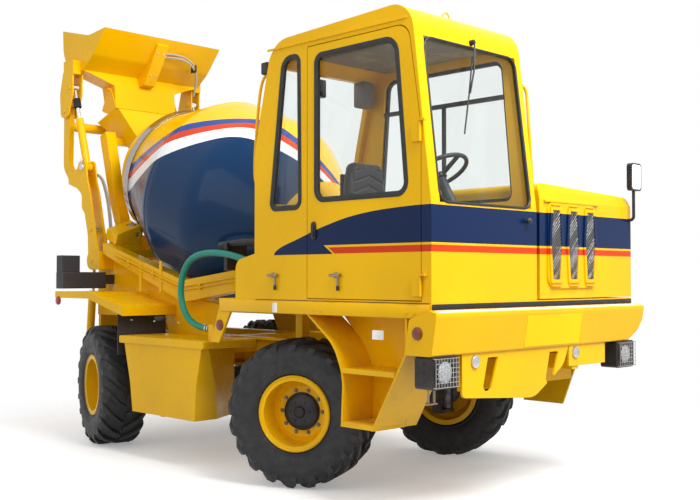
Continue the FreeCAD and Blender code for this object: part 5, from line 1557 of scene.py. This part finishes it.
@dataclass
class Seat:
    """Driver's seat: two stuffed cushions with stitched channels."""

    shop: Shop
    base: tuple[Point, Point] = ((1.650, -0.900, 1.690), (2.010, -0.440, 1.810))
    back: tuple[Point, Point] = ((1.530, -0.880, 1.835), (1.640, -0.460, 2.360))
    voxel: float = 0.006
    travel: float = 0.012
    pressure: float = 4.0
    frames: int = 20
    channel: float = 0.075
    taper_from: float = 0.45
    taper: float = 0.30
    border: float = 0.155
    stitch: float = 0.006

    def cushion(self, name: str, low: Point, high: Point) -> bpy.types.Object:
        """Build one cushion, blown up as cloth unless the run is a quick one.

        Args:
            name: The cushion's name.
            low: Its lowest corner.
            high: Its highest corner.

        Returns:
            The cushion.
        """
        inset = self.travel * 0.6
        form = Form().box([v + inset for v in low], [v - inset for v in high], 0.045)
        item = form.piece(name, self.shop.vinyl, "seat_fabric", sharp=180.0)
        bpy.context.view_layer.objects.active = item
        remesh = item.modifiers.new("even", "REMESH")
        remesh.mode, remesh.voxel_size, remesh.use_smooth_shade = "VOXEL", self.voxel, True
        bpy.ops.object.modifier_apply(modifier="even")
        before = [v.co.copy() for v in item.data.vertices]
        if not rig.quick():
            self.blow_up(item)
        for vert, start in zip(item.data.vertices, before):
            moved = vert.co - start
            if moved.length > self.travel:
                vert.co = start + moved.normalized() * self.travel
            vert.co = Vector(max(l, min(h, c)) for c, l, h in zip(vert.co, low, high))
            if high[2] - low[2] > high[0] - low[0]:
                share = (vert.co.z - low[2]) / (high[2] - low[2])
                rise = max(0.0, share - self.taper_from) / (1.0 - self.taper_from)
                middle = (low[1] + high[1]) / 2
                vert.co.y = middle + (vert.co.y - middle) * (1.0 - self.taper * rise ** 2.5)
        self.channels(item, low, high)
        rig.padded(item, 0.8)
        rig.replaces(item, "seat_cushions")
        return item

    def blow_up(self, item: bpy.types.Object) -> None:
        """Blow up the active cushion as cloth and keep its last frame."""
        cloth = item.modifiers.new("cloth", "CLOTH")
        cloth.settings.use_pressure = True
        cloth.settings.uniform_pressure_force = self.pressure
        cloth.settings.effector_weights.gravity = 0.0
        cloth.point_cache.frame_start, cloth.point_cache.frame_end = 1, self.frames
        for number in range(1, self.frames + 1):
            bpy.context.scene.frame_set(number)
        bpy.ops.object.modifier_apply(modifier="cloth")
        bpy.context.scene.frame_set(1)

    def channels(self, item: bpy.types.Object, low: Point, high: Point) -> None:
        """Press the V-shaped channels and the border seam into the cushion's face."""
        upright = high[2] - low[2] > high[0] - low[0]
        middle = (low[1] + high[1]) / 2
        for vert in item.data.vertices:
            x, y, z = vert.co
            along = z if upright else x
            face = (x - (low[0] + high[0]) / 2) if upright else (z - (low[2] + high[2]) / 2)
            if face <= 0:
                continue
            wave = (along + 0.35 * abs(y - middle)) / self.channel
            near = abs(wave - round(wave)) * self.channel
            inside = abs(y - middle) < 0.150
            groove = 0.007 * math.exp(-(near / self.stitch) ** 2) if inside else 0.0
            groove += 0.006 * math.exp(-((abs(y - middle) - self.border) / self.stitch) ** 2)
            if upright:
                vert.co.x -= groove
            else:
                vert.co.z -= groove

    def build(self) -> None:
        """Build both cushions."""
        self.cushion("seat_squab", *self.base)
        self.cushion("seat_back", *self.back)


@dataclass
class Hood:
    """Vent meshes with surrounds, mirror faces with a painted reflection, and catches on the engine hood."""

    shop: Shop
    places: tuple[float, ...] = (0.074, 0.294, 0.514)
    wide: float = 0.130
    low: float = 1.496
    high: float = 1.994
    pitch: float = 0.0260
    wire: float = 0.0025
    end: float = 0.042
    face: float = 2.682
    samples: int = 32
    woven_at: float = 2.6860
    mirror_at: float = 2.742

    def outline(self, place: float, grow: float = 0.0) -> list[Flat]:
        """Give a vent's six corners: widest at mid-height, with blunt ends.

        Args:
            place: Lower Y of the vent.
            grow: Distance to move the outline outward.

        Returns:
            The corners.
        """
        centre, end, middle = place + self.wide / 2, self.end + grow, self.wide / 2 - 0.003 + grow
        low, high, waist = self.low + 0.006 - grow, self.high - 0.006 + grow, (self.low + self.high) / 2
        return [(centre - end, low), (centre + end, low), (centre + middle, waist), (centre + end, high),
                (centre - end, high), (centre - middle, waist)]

    def half_at(self, height: float) -> float:
        """Give half a vent's width at a height."""
        waist = (self.low + self.high) / 2
        share = 1.0 - abs(height - waist) / (waist - self.low - 0.006)
        return self.end + (self.wide / 2 - 0.003 - self.end) * share

    def mesh(self, form: Form, place: float, depth: float) -> None:
        """Weave the wires of one vent.

        Args:
            form: The mesh of all vents.
            place: Lower Y of the vent.
            depth: X of the woven sheet.
        """
        centre, reach = place + self.wide / 2, self.wide / 2
        for slope in (1, -1):
            for k in range(int((self.high - self.low + self.wide) / self.pitch)):
                start, ends = self.low - reach + k * self.pitch, []
                for step in range(2 * self.samples + 1):
                    across = reach * (step / self.samples - 1)
                    height = start + slope * across
                    if self.low + 0.008 < height < self.high - 0.008 and abs(across) < self.half_at(height):
                        ends.append((depth + 0.0010 * slope, centre + across, height))
                if len(ends) > 1:
                    form.tube((ends[0], ends[-1]), self.wire, 5)

    def surround(self, form: Form, place: float) -> None:
        """Press the stepped frame round one vent, over the opening's pointed ends."""
        face, rows = self.face, []
        inner, lip, step = self.outline(place), self.outline(place, 0.004), self.outline(place, 0.026)
        for k in range(6):
            (y0, z0), (y1, z1), (y2, z2) = inner[k], lip[k], step[k]
            rows.append([(face - 0.012, y0, z0), (face + 0.008, y0, z0), (face + 0.012, y1, z1),
                         (face + 0.010, y2, z2), (face - 0.003, y2, z2)])
        form.rings(rows, looped=True)
        for z in (self.low - 0.044, self.high + 0.026):
            form.box((face - 0.002, place + 0.010, z),
                     (face + 0.013, place + self.wide - 0.010, z + 0.012), 0.005)

    def build(self) -> None:
        """Build the vents, the mirror's faces and the catches."""
        wires, rims, blanks = Form(), Form(), Form()
        for place in self.places:
            self.mesh(wires, place, self.woven_at)
            self.surround(rims, place)
            centre, lean = place + self.wide / 2, self.end + 0.004
            for way in (-1, 1):
                near, far = centre + way * 0.003, centre + way * lean
                for tip, foot in ((self.high - 0.003, self.high - 0.044),
                                  (self.low + 0.003, self.low + 0.044)):
                    blanks.prism([(near, tip), (far, tip), (far, foot)], -0.001, 0.0014,
                                 front_frame(self.face))
        ridge = ((0.010, 2.058), (0.700, 2.058), (0.700, 2.044), (0.010, 2.044))
        rims.prism(ridge, -0.014, 0.004, front_frame(self.face), 0.003)
        wires.piece("vent_mesh", self.shop.vent, "bare_steel", "hood_body")
        blanks.piece("vent_corner_blanks", self.shop.satin_black, "black_plastic", "hood_body")
        rims.piece("vent_surrounds", self.shop.cab, "yellow_paint", "hood_body")
        # Both mirror panes take the pale painted reflection.
        pane, place = oblong((1.092, 2.197), (1.220, 2.386), 0.022), front_frame(self.mirror_at)
        glass = Form().prism(pane, 0.0, 0.0025, place, 0.001).prism(pane, -0.0425, -0.040, place, 0.001)
        glass.piece("mirror_faces", self.shop.mirror, "window_glass", "hood_body")
        catches = Form()
        for x in (1.45, 2.35):
            catches.box((x - 0.03, 1.180, 1.430), (x + 0.03, 1.199, 1.500), 0.006)
        catches.piece("hood_catches", self.shop.satin_black, "black_plastic", "hood_body")


@dataclass
class Bumper:
    """Bumper and deck edge: blank plate, lamps with wire guards, trim, reflectors and markers."""

    shop: Shop
    foot: Point = (2.710, 0.0, 1.035)
    rake: float = 0.1667
    lamp_front: float = 2.706
    lamp_high: float = 0.934
    wire: float = 0.0022
    stay: float = 0.0035

    def lamp(self, tag: str, left: float, right: float) -> None:
        """Build a headlamp's bezel with its bolts, its lens and its guard.

        Args:
            tag: The lamp's side, for the names.
            left: Lower Y of its housing.
            right: Higher Y of its housing.
        """
        front = self.lamp_front
        place = frame_on((front, (left + right) / 2, self.lamp_high), AHEAD)
        bezel = Form().turned(((0.072, 0.0), (0.074, 0.010), (0.084, 0.012), (0.090, 0.0)), place, 40)
        for y in (left + 0.018, right - 0.018):
            for z in (0.850, 1.018):
                bezel.bolt((front, y, z), AHEAD, 0.007)
        edge, out = (left, -1) if left < 0 else (right, 1)
        for z in (0.880, 0.935, 0.990):
            bezel.bolt((2.640, edge, z), (0, out, 0), 0.007)
        bezel.piece(f"lamp_bezel_{tag}", self.shop.lamp_black, "lamp_plastic")
        # The lens takes the near-white blue painted highlight.
        lens = Form().turned(((0.0, 0.012), (0.040, 0.010), (0.066, 0.004), (0.073, -0.002)), place, 40)
        lens.piece(f"lamp_lens_{tag}", self.shop.bowl, "lamp_plastic")
        guard, wires, low, top = Form(), front + 0.024, 0.846, 1.022
        near, far = left + 0.014, right - 0.014
        for k in range(9):
            y = near + (right - left - 0.028) * k / 8
            guard.tube(((wires, y, low), (wires, y, top)), self.wire, 6)
        for k in range(7):
            z = low + (top - low) * k / 6
            guard.tube(((wires + 0.003, near, z), (wires + 0.003, far, z)), self.wire, 6)
        for y in (near, far):
            for z in (low, top):
                guard.tube(((front, y, z), (wires + 0.003, y, z)), self.stay, 6)
        guard.piece(f"lamp_guard_{tag}", self.shop.wire, "bare_steel")

    def build(self) -> None:
        """Build everything on the bumper."""
        self.lamp("right", -1.232, -0.985)
        self.lamp("left", 0.905, 1.156)
        face = leaning_frame(self.foot, self.rake)
        plate = Form().prism(oblong((-0.291, 0.014), (0.376, 0.228), 0.010), -0.001, 0.0012, face)
        plate.piece("blank_plate", self.shop.plate, "yellow_paint")
        # A thin black strip across the front at deck height: painted shade standing in for the shadow in the gap
        # there, not a seal.
        gap = Form().box((2.668, -1.185, 1.319), (2.675, 1.185, 1.352), 0.002)
        gap.piece("shadow_gap_seal", self.shop.rubber, "black_rubber")
        rods = Form()
        for y in (-1.140, -1.085):
            rods.tube(((2.600, y, 0.835), (2.600, y, 0.735)), 0.008, 8)
        rods.box((2.588, -1.160, 0.728), (2.612, -1.065, 0.738), 0.002)
        rods.piece("lamp_bracket_rods", self.shop.dull, "bare_steel")
        slope = Matrix.Translation((2.690, 0.0, 1.3155)) @ Matrix.Rotation(math.atan(0.25), 4, "Y")
        tape = Form().box((0.012, -1.200, 0.0), (0.052, 1.150, 0.0012), 0.0004, slope)
        tape.piece("bumper_tape", self.shop.tape, "lamp_plastic")
        self.deck_edge()
        self.markers()

    def deck_edge(self) -> None:
        """Trim the deck's edges, lay a thin black line of painted shade above the trim, and lay the blank label and
        tag.
        """
        trim, seam, bolts = Form(), Form(), Form()
        for side in Side:
            near, far = side_span(side, SIDE_WALL - 0.001, SIDE_WALL + 0.009)
            trim.box((0.575, near, 1.262), (2.655, far, 1.349), 0.004)
            # A thin black strip between the cab body and the deck's lip on each side: painted shade for the shadow
            # line where the cab meets the deck.
            near, far = side_span(side, SIDE_WALL - 0.001, SIDE_WALL + 0.0012)
            seam.box((0.985, near, 1.3535), (2.655, far, 1.3585), 0.0005)
            for x in (1.620, 1.690, 2.470, 2.540):
                bolts.bolt((x, side.value * (SIDE_WALL + 0.009), 1.292), (0, side.value, 0), 0.008)
        trim.piece("deck_edge_trim", self.shop.yellow, "yellow_paint")
        seam.piece("deck_edge_seam", self.shop.rubber, "black_rubber")
        bolts.piece("deck_edge_bolts", self.shop.yellow, "yellow_paint")
        label = Form().prism(oblong((1.185, 1.268), (1.235, 1.336), 0.003), 0.0, 0.0012,
                             side_frame(Side.RIGHT, SIDE_WALL + 0.009))
        label.piece("blank_deck_label", self.shop.tape, "lamp_plastic")
        tag = Form().prism(oblong((2.169, 1.118), (2.269, 1.178), 0.004), 0.0, 0.0015,
                           side_frame(Side.RIGHT, SIDE_WALL))
        tag.piece("blank_tag", self.shop.tape, "lamp_plastic")

    def markers(self) -> None:
        """Fit the front reflectors and the side markers."""
        shiny, markers = Form(), Form()
        for y in (-0.797, 0.358):
            shiny.turned(((0.0, 0.020), (0.030, 0.018), (0.040, 0.012), (0.041, -0.004)),
                         frame_on((2.694, y, 0.982), AHEAD), 36)
        shiny.piece("front_reflectors", self.shop.silver, "lamp_plastic")
        for spot in ((2.600, -1.240, 1.173), (0.555, -1.186, 1.155)):
            markers.turned(((0.0, 0.016), (0.030, 0.014), (0.040, 0.008), (0.041, 0.0)),
                           frame_on(spot, (0, -1, 0)), 32)
        markers.piece("side_markers", self.shop.amber, "lamp_plastic")


@dataclass
class DrumTrim:
    """Weld seams of the drum."""

    shop: Shop
    shell: tuple[Flat, ...] = ((0.930, 0.330), (0.0, 0.886), (-0.655, 0.911), (-1.640, 0.540))
    creases: tuple[Flat, ...] = ((0.0, 0.8650), (-0.655, 0.9030))
    weld: float = 0.004
    turn: float = 1.9

    def radius(self, along: float) -> float:
        """Give the shell's outer radius at a place along the axis."""
        for (first, wide), (second, narrow) in zip(self.shell, self.shell[1:]):
            if second <= along <= first:
                return wide + (narrow - wide) * (first - along) / (first - second)
        return self.shell[-1][1]

    def build(self) -> None:
        """Lay a seam round each crease and a short one along the cone."""
        seams = Form()
        for along, reach in self.creases:
            ring = laid(DRUM_FRAME, [(along, y, z) for y, z in circle(reach, 120)])
            seams.tube(ring, self.weld, 6, closed=True)
        across, up = math.sin(self.turn), math.cos(self.turn)
        line = laid(DRUM_FRAME, [(a, -self.radius(a) * across, self.radius(a) * up)
                                 for a in (-0.16 - 0.05 * k for k in range(8))])
        seams.bead(line, self.weld)
        seams.piece("drum_seams", self.shop.drum, "drum_paint", "drum_body")


@dataclass
class Loader:
    """Pins, lock plates, hoses and rod boots of the loading arm."""

    shop: Shop
    arm: float = 0.725
    rod: tuple[Flat, Flat] = ((-2.3936, 3.2192), (-2.4248, 3.3184))

    def build(self) -> None:
        """Build both sides of the arm's hardware."""
        plates, lines, boots = Form(), Form(), Form()
        ribs = [(0.034 + 0.007 * (k % 2), 0.012 * k) for k in range(9)]
        for side in Side:
            out = side.value
            face = self.arm + 0.062
            near, far = side_span(side, face, face + 0.006)
            for x, z in ((-1.975, 1.680), (-2.200, 2.605)):
                plates.turned(((0.0, 0.014), (0.030, 0.012), (0.036, 0.0)),
                              frame_on((x, out * face, z), (0, out, 0)), 28)
                plates.box((x - 0.012, near, z + 0.02), (x + 0.012, far, z + 0.085), 0.002)
                plates.bolt((x, out * (face + 0.006), z + 0.070), (0, out, 0), 0.008)
            for shift in (0.0, 0.030):
                route = ((-1.900 + shift, out * 0.640, 1.700), (-1.905 + shift, out * 0.640, 2.000),
                         (-1.985 + shift, out * 0.640, 2.330), (-2.120 + shift, out * 0.642, 2.560),
                         (-2.300 + shift, out * 0.655, 2.540))
                lines.tube(smooth_line(route, 10), 0.0095, 10)
            start, end = (Vector((x, out * self.arm, z)) for x, z in self.rod)
            boots.turned(ribs, frame_on(start, (end - start).normalized()), 24)
        plates.piece("boom_lock_plates", self.shop.zinc, "bare_steel", "boom_body")
        lines.piece("boom_hoses", self.shop.pale_hose, "black_rubber", "boom_body")
        self.bucket_lines()
        boots.piece("rod_boots", self.shop.rubber, "black_rubber", "tilt_rod_body")

    def bucket_lines(self) -> None:
        """Run the braided hoses over the bucket's wall, with their clip and the rib's bolts."""
        hoses = Form()
        for lift in (0.0, 0.034):
            route = ((-2.060, 0.080, 3.800 + lift), (-1.995, 0.240, 3.815 + lift),
                     (-2.000, 0.420, 3.740 + lift), (-2.090, 0.520, 3.610 + lift / 2), (-2.190, 0.545, 3.470))
            hoses.tube(smooth_line(route, 10), 0.0105, 10)
        hoses.piece("bucket_hoses", self.shop.pale_hose, "black_rubber", "bucket_body")
        clip = Form().box((-2.085, 0.430, 3.690), (-2.000, 0.452, 3.770), 0.006)
        clip.piece("hose_clip", self.shop.satin_black, "black_plastic", "bucket_body")
        bolts, face = Form(), Vector((0.82, 0.0, -0.57)).normalized()
        for share in (0.20, 0.75):
            for y in (-0.035, 0.035):
                spot = Vector((-1.957, y, 3.892)).lerp(Vector((-2.215, y, 3.515)), share)
                bolts.bolt(spot, face, 0.009)
        bolts.piece("rib_bolts", self.shop.zinc, "bare_steel", "bucket_body")


@dataclass
class CradlePipes:
    """Thin pipes with their clamps along the outside of both cradle beams."""

    shop: Shop
    bend: tuple[Flat, ...] = ((-1.600, 1.757), (-0.560, 1.462), (-0.460, 1.455), (0.560, 1.577))
    face: float = 0.778

    def build(self) -> None:
        """Lay two pipes on each side, with clamps between them."""
        pipes, clamps = Form(), Form()
        for side in Side:
            for drop in (0.020, 0.052):
                line = [(x, side.value * (self.face + 0.008), z - drop) for x, z in self.bend]
                pipes.tube(smooth_line(line, 8), 0.0075, 8)
            for x, z in ((-1.350, 1.686), (-0.950, 1.573), (-0.250, 1.480), (0.250, 1.540)):
                low, high = side_span(side, self.face - 0.004, self.face + 0.019)
                clamps.box((x - 0.016, low, z - 0.068), (x + 0.016, high, z - 0.004), 0.005)
                clamps.bolt((x, side.value * (self.face + 0.019), z - 0.036), (0, side.value, 0), 0.007)
        pipes.piece("cradle_pipes", self.shop.yellow, "yellow_paint")
        clamps.piece("cradle_pipe_clamps", self.shop.yellow, "yellow_paint")


@dataclass
class RearEnd:
    """Lenses and bolts of the rear lamp boxes, tank bolts and filler caps."""

    shop: Shop
    face: float = -1.930
    tank_tops: Flat = (1.1455, 1.0635)

    def build(self) -> None:
        """Build both sides."""
        red, amber, bolts, caps = Form(), Form(), Form(), Form()
        for side in Side:
            out, top = side.value, self.tank_tops[side is Side.LEFT]
            for y, form in ((0.850, amber), (0.980, red), (1.110, red)):
                form.turned(((0.0, 0.014), (0.034, 0.012), (0.046, 0.006), (0.047, -0.002)),
                            frame_on((self.face, out * y, 1.488), BACK), 28)
            for y in (0.775, 1.175):
                for z in (1.430, 1.545):
                    bolts.bolt((self.face, out * y, z), BACK, 0.007)
            for x in (-0.80, -0.45, -0.10, 0.25):
                bolts.bolt((x, out * 1.100, top), UP, 0.010)
            caps.turned(((0.0, 0.034), (0.045, 0.030), (0.052, 0.020), (0.052, 0.0)),
                        frame_on((-0.62, out * 0.93, top), UP), 32)
            red.turned(((0.0, 0.016), (0.030, 0.014), (0.040, 0.008), (0.041, -0.004)),
                       frame_on((-1.880, out * 1.204, 1.300), (0, out, 0)), 28)
        red.piece("rear_lenses_red", self.shop.red, "lamp_plastic")
        amber.piece("rear_lenses_amber", self.shop.amber, "lamp_plastic")
        bolts.piece("rear_bolts", self.shop.zinc, "bare_steel")
        caps.piece("filler_caps", self.shop.satin_black, "black_plastic")


def write_sizes(path: str, cad: Sequence[Vector], looks: Sequence[Vector]) -> None:
    """Write the CAD's box and the dressed machine's box.

    Args:
        path: The file to write.
        cad: Lowest and highest corner of the CAD.
        looks: Lowest and highest corner of everything shown.
    """
    with open(path, "w", encoding="utf-8") as target:
        json.dump({"cad": [list(c) for c in cad], "scene": [list(c) for c in looks]}, target)


def main() -> None:
    """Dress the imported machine, sub-assembly by sub-assembly."""
    logging.basicConfig(level=logging.INFO, format="%(message)s")
    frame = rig.load()
    cad = [Vector(corner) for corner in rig.bounds()]
    shop = Shop()
    Studio().build()
    SuctionHose(shop).build()
    Coats(shop).lay(frame["nodes"])
    for end, axle, steer in (("front", 1.135, 26.0), ("rear", -1.395, -17.0)):
        for side in (Side.RIGHT, Side.LEFT):
            Wheel(shop, f"{end}_{side.name.lower()}", axle, side, steer).build()
    for part in (Cab, Seat, Hood, Bumper, DrumTrim, CradlePipes, Loader, RearEnd):
        part(shop).build()
        log.info("%s done", part.__name__)
    write_sizes("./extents.json", cad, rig.bounds())


if __name__ == "__main__":
    main()
